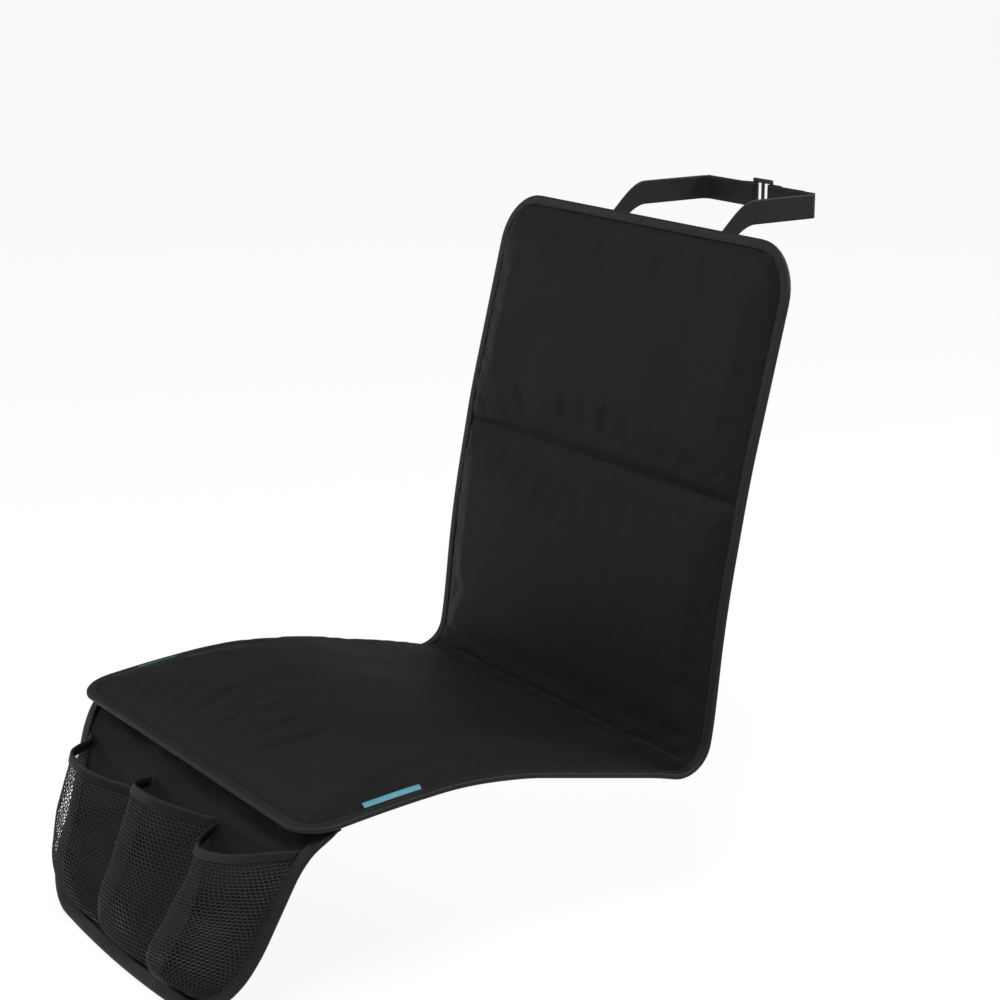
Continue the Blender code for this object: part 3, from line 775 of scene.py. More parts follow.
def build_pad(name, node, start, end, cloth):
    """A foam pad with round edges, full where the face cloth lies on it."""
    rows = max(12, int((end - start) / 0.009))
    s = np.linspace(start, end, rows)[:, None]
    half = MAT_WIDTH / 2 - PAD_INSET
    loss = (corner_loss(s - SEAT_START - PAD_INSET, FRONT_RADIUS)
            + corner_loss(MAT_TOP - PAD_INSET - s, TOP_RADIUS))
    u = np.sin(np.linspace(-math.pi / 2, math.pi / 2, 49))[None, :]
    x = u * (half - loss)
    s = np.broadcast_to(s, x.shape)
    edge = np.minimum(np.abs(half - loss) - np.abs(x), np.minimum(s - start, end - s))
    round_off = np.sqrt(1 - (1 - np.clip(edge / PAD_ROUNDING, 0.0, 1.0)) ** 2)
    middle = BACKING + GAP + PAD / 2
    top = wrap(x, s, middle + round_off * PAD / 2)
    bottom = wrap(x, s, middle - round_off * PAD / 2)
    count = top.shape[0] * top.shape[1]
    faces = grid_faces(*top.shape[:2])
    under = [tuple(count + corner for corner in reversed(face)) for face in faces]
    points = np.concatenate([top.reshape(-1, 3), bottom.reshape(-1, 3)])
    flat = np.stack([x, s], -1).reshape(-1, 2)
    pad = add_mesh(name, points, faces + under, np.concatenate([flat, flat]))
    weld = pad.modifiers.new("Weld", "WELD")
    weld.merge_threshold = 0.00001
    finish_piece(pad, shared_material("Grey foam", open_foam, cloth.foam_colour), "foam", node)


def side_run(half_at, low, high, low_radius, high_radius=0.0):
    """Flat points up the right side of a piece, dense round its corners."""
    turn = np.linspace(0.0, math.pi / 2, 12)
    parts = [low + low_radius * (1 - np.cos(turn)),
             np.linspace(low + low_radius, high - high_radius, 60)[1:-1 if high_radius else None]]
    if high_radius:
        parts.append(high - high_radius * (1 - np.cos(turn[::-1])))
    s = np.concatenate(parts)
    return np.stack([half_at(s), s], -1)


def mat_outline():
    """The mat's edge from the middle of its top, down the right side and round."""
    right = side_run(mat_half, SEAT_START, MAT_TOP, FRONT_RADIUS, TOP_RADIUS)[::-1]
    left = right[::-1] * [-1, 1]
    front = np.array([[0.1, SEAT_START], [0.0, SEAT_START], [-0.1, SEAT_START]])
    top = [[0.0, MAT_TOP]]
    return np.concatenate([top, right, front, left, top])


def flap_tuck(s):
    """How far the flap's side draws in under the seat's corner."""
    return TUCK * smooth((np.asarray(s) - FLAP_LENGTH + TUCK_LENGTH) / TUCK_LENGTH)


def flap_outline():
    """The flap's edge, down its right side, along the lower edge and up its left side."""
    right = side_run(flap_half, 0.0, FLAP_LENGTH, FLAP_RADIUS)[::-1]
    right[:, 0] -= flap_tuck(right[:, 1])
    left = right[::-1] * [-1, 1]
    share = np.linspace(0.8, -0.8, 9)[:, None]
    lower = np.concatenate([share * flap_half(0.0), np.zeros_like(share)], axis=1)
    return np.concatenate([right, lower, left])


def build_binding(name, node, outline, lay, width, low, high, closed, cloth):
    """Tape folded over an edge, slightly uneven, with its stitching."""
    line = resample(outline, 0.004)
    if closed:
        line = line[:-1]
    outward = outward_of(line, closed)
    reach = GAP + TAPE
    middle = (low + high) / 2
    upper, lower = high + reach, low - reach
    section = [(-width, high + 0.0003), (-width + 0.0002, upper - 0.0002), (-width + 0.0010, upper),
               (-width * 0.66, upper + 0.00025), (-width * 0.33, upper + 0.00025), (-0.0010, upper),
               (0.0004, upper - 0.0005), (reach, middle + (upper - middle) * 0.45), (reach + 0.0001, middle),
               (reach, middle - (middle - lower) * 0.45), (0.0004, lower + 0.0005), (-0.0010, lower),
               (-width * 0.5, lower - 0.0001), (-width + 0.0010, lower), (-width + 0.0002, lower + 0.0002),
               (-width, low - 0.0003)]
    run = rows_along(line)
    uneven = ripple_along(run, 0.018, 5)
    swell = ripple_along(run, 0.007, 6)
    rows, flat = [], []
    walked = 0.0
    for index, (out, height) in enumerate(section):
        if index:
            walked += math.dist(section[index - 1], section[index])
        shift = out + (TAPE_UNEVEN * uneven if out <= -width + 0.0011 else 0.0)
        place = line + outward * np.broadcast_to(shift, run.shape)[:, None]
        lift = TAPE_PUCKER * swell if index in (3, 4) else 0.0
        rows.append(lay(place[:, 0], place[:, 1], height + lift))
        flat.append(np.stack([np.full_like(run, walked), run], -1))
    tape = add_grid(name, np.array(rows), np.array(flat), closed)
    finish_piece(tape, binding_tape(cloth), "binding_tape", node)
    stitched = np.concatenate([line, line[:1]]) if closed else line
    facing = np.concatenate([outward, outward[:1]]) if closed else outward
    x, s = (stitched - facing * (width - STITCH_INSET)).T
    for side, height, sign in (("upper", upper + ON_CLOTH, 1), ("lower", lower - ON_CLOTH, -1)):
        title = f"{name}_{side}_stitches"
        stitch_line(title, lay(x, s, height), normals_at(lay, x, s) * sign, cloth)


def build_flap(cloth):
    """The flap's cloth with soft folds below the seat's edge."""
    length = FLAP_LENGTH + FLAP_OVERLAP
    turn = FLAP_RADIUS * (1 - np.cos(np.linspace(0.0, math.pi / 2, 14)))
    s = np.concatenate([turn, np.linspace(FLAP_RADIUS, length, 90)[1:]])[:, None]
    sewn = np.clip((s - FLAP_LENGTH) / FLAP_SEWN_RAMP, 0.0, 1.0)
    sewn_half = MAT_WIDTH / 2 - BINDING_WIDTH - FLAP_SEWN_INSET
    free_half = flap_half(s) - flap_tuck(s)
    half = free_half + (sewn_half - free_half) * sewn
    x = np.linspace(-1, 1, 121)[None, :] * half
    s = np.broadcast_to(s, x.shape)
    flat = np.stack([x, s], -1)
    free = smooth((flap_half(s) - np.abs(x) - 0.012) / 0.02) * smooth((FLAP_LENGTH - s) / 0.03)
    folds = ripple(flat * [0.3, 1.0], 0.017, 8) * np.exp(-((FLAP_LENGTH - 0.035 - s) / 0.03) ** 2)
    height = FLAP_LEVEL + (SEWN_LEVEL - FLAP_LEVEL) * sewn + free * (cloth.flap_folds * folds - 0.0004)
    flap = thicken(add_grid("flap", drape(x, s, height), flat), FACE_CLOTH)
    finish_piece(flap, oxford(cloth), "black_oxford_cloth", "flap_cloth")
    area = float(np.trapz(2 * half[:, 0], s[:, 0]))


def divider(s):
    """Distance from the flap's middle to the seams between the pockets."""
    return DIVIDER_BOTTOM + (DIVIDER_TOP - DIVIDER_BOTTOM) * np.clip(np.asarray(s) / FLAP_LENGTH, 0.0, 1.0)


def pocket_sides(name):
    """Functions for the two side seams of a pocket."""
    gap = POCKET_SPACING / 2
    if name == "middle":
        return (lambda s: -divider(s) + gap), (lambda s: divider(s) - gap)
    side = -1 if name == "left" else 1
    return (lambda s: side * (divider(s) + gap)), (lambda s: side * flap_half(s, NET_INSET))


def hill_across(across, centre, width):
    """A rounded hill from 0 at both sides to 1."""
    hill = np.exp(-np.abs((across - centre) / width) ** 3.2)
    ends = np.interp(across, [0.0, 1.0], [hill[0], hill[-1]])
    return np.maximum(0.0, (hill - ends) / (hill - ends).max())


def pocket_table(name, pockets):
    """Points of a filled net, evenly spaced across and up, with heights over the flap."""
    first, second = pocket_sides(name)
    first_drop, second_drop, sag = {
        "left": (pockets.inner_drop + 0.006, pockets.outer_drop + 0.012, 0.003),
        "middle": (pockets.inner_drop - 0.010, pockets.inner_drop - 0.012, 0.002),
        "right": (pockets.inner_drop - 0.010, pockets.outer_drop - 0.009, 0.022),
    }[name]
    centre, width, mouth, depth, foot, narrowing = {
        "left": (0.46, 0.36, 0.36, pockets.left_depth, 0.085, 0.08),
        "middle": (0.50, 0.44, 0.44, pockets.middle_depth, 0.060, 0.04),
        "right": (0.527, 0.31, 1.0, pockets.right_depth, 0.032, 0.333),
    }[name]
    across = np.linspace(0.0, 1.0, 161)
    body_hill = hill_across(across, centre, width)
    mouth_hill = hill_across(across, centre, mouth)
    top = FLAP_LENGTH - first_drop - (second_drop - first_drop) * across - sag * mouth_hill
    table = np.zeros((NET_ROWS, NET_COLUMNS, 3))
    for row, v in enumerate(np.linspace(0.0, 1.0, NET_ROWS)):
        s = NET_INSET + (top - NET_INSET) * v
        x = first(s) + (second(s) - first(s)) * across
        rise = np.clip((s - NET_INSET) / foot, 0.0, 1.0)
        near_mouth = smooth((v - 0.55) / 0.45)
        fullness = np.sqrt(1 - (1 - rise) ** 2) * (1 - narrowing * near_mouth)
        hill = body_hill + (mouth_hill - body_hill) * near_mouth
        line = np.stack([x, s, NET_LEVEL + depth * fullness * hill], -1)
        table[row] = resample(line, count=NET_COLUMNS)
    return table


def read_table(table, u, v):
    """Points of a table at shares across and up."""
    rows, columns = table.shape[:2]
    r = np.clip(np.asarray(v) * (rows - 1), 0, rows - 1.0001)
    c = np.clip(np.asarray(u) * (columns - 1), 0, columns - 1.0001)
    r0, c0 = r.astype(int), c.astype(int)
    fr, fc = (r - r0)[..., None], (c - c0)[..., None]
    low = table[r0, c0] * (1 - fc) + table[r0, c0 + 1] * fc
    high = table[r0 + 1, c0] * (1 - fc) + table[r0 + 1, c0 + 1] * fc
    return low * (1 - fr) + high * fr


def drape_points(points):
    """Lay rows of flat points of the flap."""
    return drape(points[..., 0], points[..., 1], points[..., 2])


def table_size(table):
    """Mean width and height of a filled net."""
    laid = drape_points(table)
    return [float(np.linalg.norm(np.diff(laid, axis=axis), axis=-1).sum(axis).mean()) for axis in (1, 0)]


def hexagon_net(name, table, pockets):
    """A net of six-sided gaps laid over a table of points."""
    width, height = table_size(table)
    side = pockets.net_pitch / math.sqrt(3)
    columns = int(round(width / pockets.net_pitch))
    rows = int(round(height / (1.5 * side)))
    keys, points, faces = {}, [], []
    for row in range(rows + 1):
        for column in range(columns + 1):
            face = []
            for turn in range(6):
                angle = math.radians(30 + 60 * turn)
                u = (column + 0.5 * (row % 2) + math.cos(angle) / math.sqrt(3)) / columns
                v = (row * 1.5 + math.sin(angle)) / 1.5 / rows
                spot = (min(max(u, 0.0), 1.0), min(max(v, 0.0), 1.0))
                key = (round(spot[0] * 1e4), round(spot[1] * 1e4))
                if key not in keys:
                    keys[key] = len(points)
                    points.append(spot)
                if keys[key] not in face:
                    face.append(keys[key])
            if len(face) > 2:
                faces.append(face)
    flat = np.array(points)
    spots = read_table(table, flat[:, 0], flat[:, 1])
    spots[:, 2] += 0.0003 * ripple(spots[:, :2], 0.02, 11)
    net = add_mesh(name, drape_points(spots), faces, spots[:, :2], False)
    strands = net.modifiers.new("Strands", "WIREFRAME")
    strands.thickness = pockets.strand
    strands.use_even_offset = False
    strands.use_boundary = True
    return apply_modifiers(net)


def build_hem(name, node, table, cloth):
    """A gathered tape folded over the net's upper edge."""
    top, under = [resample(drape_points(table[row]), count=HEM_STEPS) for row in (-1, -6)]
    up = unit(top - under)
    face = unit(np.cross(unit(np.gradient(top, axis=0)), up))
    run = rows_along(top)
    gather = ripple_along(run, 0.0045, 12)
    section = [(1.0, 0.0), (0.93, 0.5), (0.78, 0.85), (0.45, 1.0), (0.0, 0.92), (-0.45, 1.0), (-0.85, 0.85),
               (-1.0, 0.45), (-1.0, -0.45), (-0.85, -0.85), (0.0, -0.92), (0.78, -0.85), (0.93, -0.5)]
    close = np.sqrt(np.clip(np.minimum(run, run[-1] - run) / 0.0025, 0.0004, 1.0))[:, None]
    rows, flat, walked = [], [], 0.0
    for index, (rise, bulge) in enumerate(section):
        if index:
            walked += math.dist(section[index - 1], section[index]) * HEM_HALF
        swell = bulge * HEM_THICK * (1 + 0.16 * gather)
        rows.append(top - up * 0.85 * HEM_HALF + close * (up * rise * HEM_HALF + face * swell[:, None]))
        flat.append(np.stack([np.full_like(run, walked), run], -1))
    rows.append(rows[0])
    flat.append(np.stack([np.full_like(run, walked + HEM_HALF * 0.5), run], -1))
    hem = add_grid(name, np.array(rows), np.array(flat))
    finish_piece(hem, binding_tape(cloth), "binding_tape", node)
    line = top - up * (HEM_HALF * 1.55) + face * (HEM_THICK * 1.02)
    return hem, stitch_line(name + "_stitches", line, face, cloth)


def build_pocket(name, cloth, pockets):
    """A net pocket, full in shape and empty, with its hem."""
    table = pocket_table(name, pockets)
    net = hexagon_net(name + "_net", table, pockets)
    tint = pockets.net_colour
    cord = shared_material("Black net cord", knitted_net, tint, shade(tint, 2.2))
    finish_piece(net, cord, "net", "pocket_net_" + name)
    hem, seam = build_hem(name + "_hem", "pocket_hem_" + name, table, cloth)
    width, height = table_size(table)


def build_pocket_seams(cloth, pockets):
    """Stitch rows between the pockets."""
    s = np.linspace(NET_INSET, FLAP_LENGTH - pockets.inner_drop - 0.004, 80)
    for side, title in ((-1, "left"), (1, "right")):
        x = side * divider(s)
        place = drape(x, s, NET_LEVEL + 0.0004)
        stitch_line(f"{title}_divider_stitches", place, normals_at(drape, x, s), cloth)


def build_accent(name, node, side, cloth):
    """A teal strip sewn on beside the binding."""
    start = SEAT_START + ACCENT_START
    s = np.linspace(start, start + ACCENT_LENGTH, 31)[:, None]
    near = MAT_WIDTH / 2 - BINDING_WIDTH - GAP - TAPE / 2
    share = np.linspace(0.0, 1.0, 9)[None, :]
    x = side * (near - ACCENT_WIDTH * share) + 0 * s
    s = np.broadcast_to(s, x.shape)
    crown = ACCENT_CROWN * np.sin(math.pi * share)
    height = face_height(x, s, cloth.crown) + FACE_CLOTH / 2 + 0.0005 + crown
    strip = thicken(add_grid(name, wrap(x, s, height), np.stack([x, s], -1)), ACCENT_THICKNESS)
    # The light tint colours the painted highlight on the rib tops and the lighter random drift.
    dark, light = shade(cloth.accent_colour, 0.6), shade(cloth.accent_colour, 1.5)
    teal = shared_material("Teal satin strip", ribbed_tape, dark, light,
                           pitch=0.0008, depth=0.0001, roughness=0.34)
    finish_piece(strip, teal, "teal_strip", node)


def rounded_path(corners, radii, steps=10):
    """A flat path through corners, each rounded by its radius."""
    path = [corners[0]]
    for before, corner, after, radius in zip(corners, corners[1:], corners[2:], radii):
        arrive = (corner - before).normalized()
        leave = (after - corner).normalized()
        turn = arrive.angle(leave)
        start = corner - radius * math.tan(turn / 2) * arrive
        centre = start + radius * (leave - arrive * arrive.dot(leave)).normalized()
        for step in range(steps + 1):
            angle = turn * step / steps
            path.append(centre + (start - centre) * math.cos(angle) + radius * math.sin(angle) * arrive)
    path.append(corners[-1])
    return np.array([tuple(point) for point in path])


def strap_path(end_length):
    """The strap's way in plan, from where it is sewn on, round the post and the slider."""
    sewn = wrap(0.0, MAT_TOP - STRAP_DROP, -GAP - WEBBING / 2)
    wrap_radius = POST_RADIUS + GAP + WEBBING / 2
    side_x = POST_SPACING / 2 + wrap_radius
    front = float(sewn[1])
    rear = front + STRAP_REACH + wrap_radius
    slot_end = SLIDER_BAR / 2 + SLIDER_SLOT
    radius = math.hypot(SLIDER_BAR, SLIDER_THICKNESS) / 2 + GAP + WEBBING / 2
    turn_x = slot_end + SLIDER_BAR / 2 - radius
    free_x = slot_end + SLIDER_BAR + 5 * radius
    fold = rear + 2 * radius
    close = rear + WEBBING + GAP * 2
    corners = [Vector(point) for point in (
        (STRAP_SEWN_START, front), (side_x, front), (side_x, rear), (turn_x, rear), (turn_x, fold),
        (free_x - 3 * radius, fold), (free_x, close), (free_x + end_length, close))]
    radii = (STRAP_CORNER_RADIUS, wrap_radius, radius * 0.98, radius * 0.98, radius, radius)
    return rounded_path(corners, radii), sewn


def build_strap(name, node, side, end_length, cloth):
    """One strap half of ribbed webbing, sewn to the back with a box of stitches."""
    path, sewn = strap_path(end_length)
    path = resample(path, 0.0012)
    front = float(sewn[1])
    share = smooth((path[:, 1] - front) / (STRAP_REACH / 2))[:, None]
    angle = math.radians(float(mat_heading(np.array(MAT_TOP - STRAP_DROP))))
    lean = np.array([0.0, math.cos(angle), math.sin(angle)])
    upright = np.array([0.0, 0.0, 1.0])
    direction = unit(lean + (upright - lean) * share)
    middle = np.stack([side * path[:, 0], path[:, 1], float(sewn[2]) + STRAP_RISE * share[:, 0]], -1)
    across = np.linspace(-0.5, 0.5, 13) * WEBBING_WIDTH
    points = middle[:, None, :] + across[None, :, None] * direction[:, None, :]
    run = rows_along(middle)
    flat = np.stack(np.broadcast_arrays(across[None, :], run[:, None]), -1)
    strap = thicken(add_grid(name, points, flat), WEBBING - 0.0001)
    # The light tint colours the painted highlight on the rib tops and the lighter random drift.
    dark, light = shade(cloth.tape_colour, 0.5), shade(cloth.tape_colour, 1.8)
    web = shared_material("Black webbing", ribbed_tape, dark, light,
                          pitch=0.0013, depth=0.0004, roughness=0.5, cross=0.0021)
    finish_piece(strap, web, "webbing", node)
    outward = unit(np.cross(np.gradient(middle, axis=0), direction) * -side)
    box = box_stitches(name + "_stitches", middle, direction, outward, run, cloth)


def box_stitches(name, middle, direction, outward, run, cloth):
    """A box with a cross of stitches at the strap's sewn end."""
    half, near, far = WEBBING_WIDTH / 2 - 0.0025, 0.002, 0.026
    corners = [(near, -half), (far, -half), (far, half), (near, half), (near, -half), (far, half),
               (near, half), (far, -half)]
    line = resample(np.array(corners), 0.001)
    base, rise, face = [points_at(values, run, line[:, 0]) for values in (middle, direction, outward)]
    return stitch_line(name, base + rise * line[:, 1:] + face * (WEBBING / 2 + ON_CLOTH), face, cloth)


def build_slider(cloth):
    """The plastic slider keeps its solid and gets its finish."""
    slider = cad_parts["strap_slider"]
    plastic = shared_material("Black slider plastic", moulded_plastic, cloth.tape_colour)
    for place in slider.material_slots:
        place.material = plastic


def stand(name, data, position, direction):
    """Stand a lamp or camera so that it looks in a direction."""
    item = bpy.data.objects.new(name, data)
    item.location = position
    item.rotation_mode = "QUATERNION"
    item.rotation_quaternion = direction.to_track_quat("-Z", "Y")
    bpy.context.scene.collection.objects.link(item)
    return item


def add_lamp(name, position, target, size, power):
    """A square soft lamp that faces a point."""
    light = bpy.data.lights.new(name, "AREA")
    light.shape = "SQUARE"
    light.size = size
    light.energy = power
    stand(name, light, position, Vector(target) - Vector(position))


def build_floor(studio):
    """A wide pale floor that keeps a soft shadow."""
    low = CAD_BOX[0][2] - FLOOR_GAP
    points = [(x * FLOOR_HALF, y * FLOOR_HALF, low) for x, y in ((-1, -1), (1, -1), (1, 1), (-1, 1))]
    floor = add_mesh("floor", points, [(0, 1, 2, 3)], smooth_faces=False)
    shader = Shader("Pale floor")
    shader.set(Base_Color=(*studio.floor_colour, 1.0), Roughness=0.9)
    glow = shader.node("ShaderNodeEmission", inputs={"Color": (1.0, 1.0, 1.0, 1.0), "Strength": 1.0})
    rays = shader.node("ShaderNodeLightPath")
    seen = (rays + rays.output("Is Glossy Ray")).maths("MINIMUM", 1.0) * studio.floor_lift
    both = shader.node("ShaderNodeMixShader", inputs=[seen, Value(shader, shader.surface.outputs[0]), glow])
    shader.feed(shader.tree.nodes["Material Output"].inputs["Surface"], both)
    floor.data.materials.append(shader.material)


def build_world(studio):
    """Even pale light that the camera sees as white."""
    world = bpy.data.worlds.new("Studio")
    world.use_nodes = True
    tree = world.node_tree
    shown, light = tree.nodes["Background"], tree.nodes.new("ShaderNodeBackground")
    for background, strength in ((shown, 1.0), (light, studio.world_light)):
        background.inputs["Color"].default_value = (1.0, 1.0, 1.0, 1.0)
        background.inputs["Strength"].default_value = strength
    mix = tree.nodes.new("ShaderNodeMixShader")
    rays = tree.nodes.new("ShaderNodeLightPath")
    for place, socket in enumerate((rays.outputs["Is Camera Ray"], light.outputs[0], shown.outputs[0])):
        tree.links.new(socket, mix.inputs[place])
    tree.links.new(mix.outputs[0], tree.nodes["World Output"].inputs["Surface"])
    bpy.context.scene.world = world


def build_camera(studio):
    """The camera stands where the photograph was taken from."""
    lens = bpy.data.cameras.new("Camera")
    lens.lens = studio.lens
    lens.sensor_width = 36.0
    lens.clip_start = 0.05
    lens.clip_end = 100.0
    azimuth, rise = studio.azimuth, studio.elevation
    back = Vector((math.sin(azimuth) * math.cos(rise), -math.cos(azimuth) * math.cos(rise), math.sin(rise)))
    bpy.context.scene.camera = stand("Camera", lens, studio.camera_place, -back)


def number(name, about, value, unit="LENGTH", low=0.0, high=10.0):
    """A number property."""
    return bpy.props.FloatProperty(name=name, description=about, default=value, min=low, max=high,
                                   unit=unit, precision=4)


def colour(name, about, value):
    """A colour property."""
    return bpy.props.FloatVectorProperty(name=name, description=about, default=value, subtype="COLOR",
                                         size=3, min=0.0, max=1.0)


class SeatMatCloth(bpy.types.PropertyGroup):
    """Sizes and colours of the cloth, pads and sewing."""

    cloth_colour: colour("Cloth", "Colour of the woven cloth", (0.0028, 0.0028, 0.0034))
    tape_colour: colour("Tape", "Colour of bindings, hems and webbing", (0.0050, 0.0050, 0.0056))
    thread_colour: colour("Thread", "Colour of the sewing thread", (0.011, 0.011, 0.012))
    foam_colour: colour("Foam", "Colour of the foam pads", (0.10, 0.10, 0.105))
    accent_colour: colour("Accent", "Colour of the two strips at the front", (0.055, 0.17, 0.22))
    weave_pitch: number("Weave pitch", "Width of one thread of the cloth", 0.0015)
    crown: number("Crown", "Height of the pads' middle over their edges", 0.0022)
    pucker: number("Pucker", "Depth of the puckers along the seams", 0.0006)
    flap_folds: number("Flap folds", "Depth of the soft folds at the flap's top", 0.0045)
    spare_cloth: number("Spare cloth", "Share of extra cloth that wrinkles between the seams", 0.008,
                        "NONE", 0, 0.2)
    pressure: number("Pressure", "Push of the pads against the cloth", 2.0, "NONE", 0, 50)
    most_lift: number("Most lift", "Furthest that the cloth may rise", 0.006)
    frames: bpy.props.IntProperty(name="Steps", description="Steps of the cloth simulation",
                                  default=20, min=2)
    stitch_pitch: number("Stitch pitch", "Distance from stitch to stitch", 0.0036)
    stitch_length: number("Stitch length", "Length of a stitch that shows", 0.0028)
    thread_thickness: number("Thread thickness", "Thickness of the sewing thread", 0.0006)


class SeatMatPockets(bpy.types.PropertyGroup):
    """Sizes of the net pockets."""

    net_colour: colour("Net", "Colour of the net's cord", (0.010, 0.010, 0.011))
    net_pitch: number("Net pitch", "Width of one gap of the net", 0.0046)
    strand: number("Strand", "Thickness of the net's cord", 0.0011)
    inner_drop: number("Inner drop", "How far the hems lie below the fold at the middle pocket", 0.070)
    outer_drop: number("Outer drop", "How far the hems lie below the fold at the flap's sides", 0.050)
    left_depth: number("Left depth", "How far the left net stands out", 0.050)
    middle_depth: number("Middle depth", "How far the middle net stands out", 0.045)
    right_depth: number("Right depth", "How far the right net stands out", 0.054)


class SeatMatStudio(bpy.types.PropertyGroup):
    """Camera, floor and light."""

    floor_colour: colour("Floor", "Colour of the floor", (0.85, 0.85, 0.85))
    floor_lift: number("Floor lift", "Share of plain white in the floor as the camera sees it", 0.93,
                       "NONE", 0, 1)
    world_light: number("World light", "Strength of the even light", 0.22, "NONE", 0, 10)
    lens: number("Lens", "Focal length in millimetres on a 36 mm wide sensor", 86.4, "NONE", 1, 500)
    azimuth: number("Azimuth", "Direction that the camera looks from", math.radians(56), "ROTATION", -7, 7)
    elevation: number("Elevation", "Angle of the camera above the horizon", math.radians(15),
                      "ROTATION", -2, 2)
    camera_place: bpy.props.FloatVectorProperty(
        name="Camera place", description="Where the camera stands", subtype="TRANSLATION", unit="LENGTH",
        default=(1.948907, -1.255699, 0.838512))


class SeatMatOperator:
    """What all operators of the mat share."""

    bl_options = {"REGISTER", "UNDO"}

    def execute(self, context):
        """Build the pieces."""
        scene = context.scene
        self.build(scene.seat_mat_cloth, scene.seat_mat_pockets, scene.seat_mat_studio)
        return {"FINISHED"}


class BuildPads(SeatMatOperator, bpy.types.Operator):
    """Build the three foam pads"""

    bl_idname = "seat_mat.build_pads"
    bl_label = "Foam pads"

    def build(self, cloth, pockets, studio):
        for name, start, end in (
                ("seat", SEAT_START + PAD_INSET, CREASE_MIDDLE - PAD_CREASE_INSET),
                ("lower_back", CREASE_MIDDLE + PAD_CREASE_INSET, BACK_SEAM - PAD_SEAM_INSET),
                ("upper_back", BACK_SEAM + PAD_SEAM_INSET, MAT_TOP - PAD_INSET)):
            build_pad(name + "_pad", name + "_foam", start, end, cloth)


class BuildFace(SeatMatOperator, bpy.types.Operator):
    """Build the padded face cloth and its seams"""

    bl_idname = "seat_mat.build_face"
    bl_label = "Padded face"

    def build(self, cloth, pockets, studio):
        build_face(cloth)


class BuildUnderside(SeatMatOperator, bpy.types.Operator):
    """Build the non-slip underside"""

    bl_idname = "seat_mat.build_underside"
    bl_label = "Underside"

    def build(self, cloth, pockets, studio):
        build_underside(cloth)


class BuildFlap(SeatMatOperator, bpy.types.Operator):
    """Build the front flap"""

    bl_idname = "seat_mat.build_flap"
    bl_label = "Front flap"

    def build(self, cloth, pockets, studio):
        build_flap(cloth)


class BuildBindings(SeatMatOperator, bpy.types.Operator):
    """Build the tapes folded over the edges"""

    bl_idname = "seat_mat.build_bindings"
    bl_label = "Edge bindings"

    def build(self, cloth, pockets, studio):
        build_binding("mat_edge_tape", "mat_binding", mat_outline(), wrap, BINDING_WIDTH,
                      0.0, EDGE_TOP, True, cloth)
        build_binding("flap_edge_tape", "flap_binding", flap_outline(), drape, FLAP_BINDING_WIDTH,
                      FLAP_TOP - FACE_CLOTH, NET_LEVEL + NET / 2, False, cloth)


class BuildPockets(SeatMatOperator, bpy.types.Operator):
    """Build the three net pockets with their hems"""

    bl_idname = "seat_mat.build_pockets"
    bl_label = "Net pockets"

    def build(self, cloth, pockets, studio):
        for name in ("left", "middle", "right"):
            build_pocket(name, cloth, pockets)
        build_pocket_seams(cloth, pockets)


class BuildAccents(SeatMatOperator, bpy.types.Operator):
    """Build the colour strips beside the binding"""

    bl_idname = "seat_mat.build_accents"
    bl_label = "Colour strips"

    def build(self, cloth, pockets, studio):
        build_accent("left_accent", "accent_strip_left", -1, cloth)
        build_accent("right_accent", "accent_strip_right", 1, cloth)


class BuildStraps(SeatMatOperator, bpy.types.Operator):
    """Build the headrest strap and finish its slider"""

    bl_idname = "seat_mat.build_straps"
    bl_label = "Headrest strap"

    def build(self, cloth, pockets, studio):
        build_strap("left_strap", "headrest_strap_left", -1, STRAP_TAIL_LENGTH, cloth)
        build_strap("right_strap", "headrest_strap_right", 1, STRAP_FOLD_LENGTH, cloth)
        build_slider(cloth)


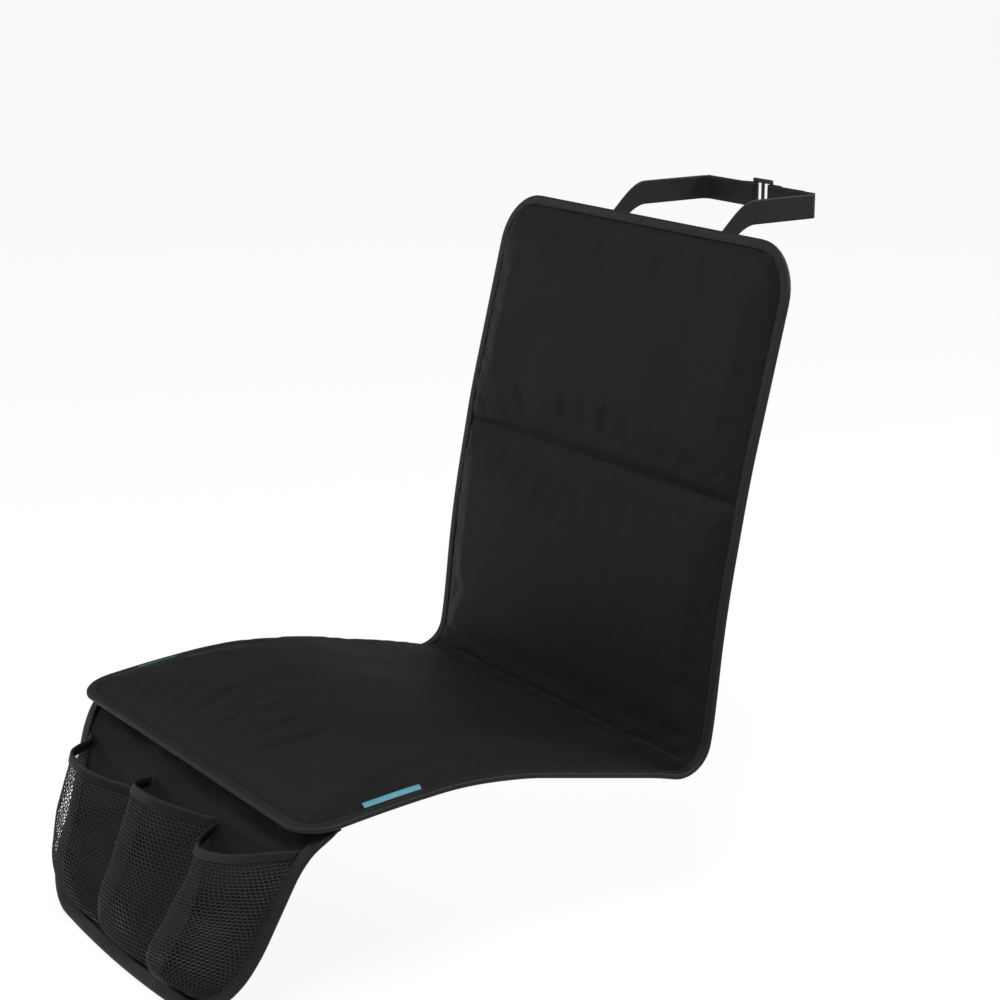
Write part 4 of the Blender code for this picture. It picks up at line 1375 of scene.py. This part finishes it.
class BuildStudio(SeatMatOperator, bpy.types.Operator):
    """Build the floor, light and camera"""

    bl_idname = "seat_mat.build_studio"
    bl_label = "Studio"

    def build(self, cloth, pockets, studio):
        build_floor(studio)
        build_world(studio)
        build_camera(studio)
        for lamp in LAMPS:
            add_lamp(*lamp)
        bpy.context.scene.view_settings.view_transform = "Standard"


OPERATORS = (BuildPads, BuildFace, BuildUnderside, BuildFlap, BuildBindings, BuildPockets, BuildAccents,
             BuildStraps, BuildStudio)


class SeatMatPanel(bpy.types.Panel):
    """Lists the steps and settings of the mat"""

    bl_idname = "VIEW3D_PT_seat_mat"
    bl_label = "Seat protector mat"
    bl_space_type = "VIEW_3D"
    bl_region_type = "UI"
    bl_category = "Seat Mat"

    def draw(self, context):
        """Draw the settings of each group and one button for each step."""
        scene = context.scene
        for group in (scene.seat_mat_cloth, scene.seat_mat_pockets, scene.seat_mat_studio):
            box = self.layout.box()
            for key in group.bl_rna.properties.keys():
                if key not in ("rna_type", "name"):
                    box.prop(group, key)
        for operator in OPERATORS:
            self.layout.operator(operator.bl_idname)


CLASSES = (SeatMatCloth, SeatMatPockets, SeatMatStudio, *OPERATORS, SeatMatPanel)


def register():
    """Register the classes and hang the settings on the scene."""
    for item in CLASSES:
        bpy.utils.register_class(item)
    bpy.types.Scene.seat_mat_cloth = bpy.props.PointerProperty(type=SeatMatCloth)
    bpy.types.Scene.seat_mat_pockets = bpy.props.PointerProperty(type=SeatMatPockets)
    bpy.types.Scene.seat_mat_studio = bpy.props.PointerProperty(type=SeatMatStudio)


def unregister():
    """Take the settings off the scene and drop the classes."""
    del bpy.types.Scene.seat_mat_cloth
    del bpy.types.Scene.seat_mat_pockets
    del bpy.types.Scene.seat_mat_studio
    for item in reversed(CLASSES):
        bpy.utils.unregister_class(item)


def main():
    """Build everything."""
    register()
    steps = bpy.ops.seat_mat
    steps.build_pads()
    steps.build_face()
    steps.build_underside()
    steps.build_flap()
    steps.build_bindings()
    steps.build_pockets()
    steps.build_accents()
    steps.build_straps()
    steps.build_studio()


if __name__ == "__main__":
    main()
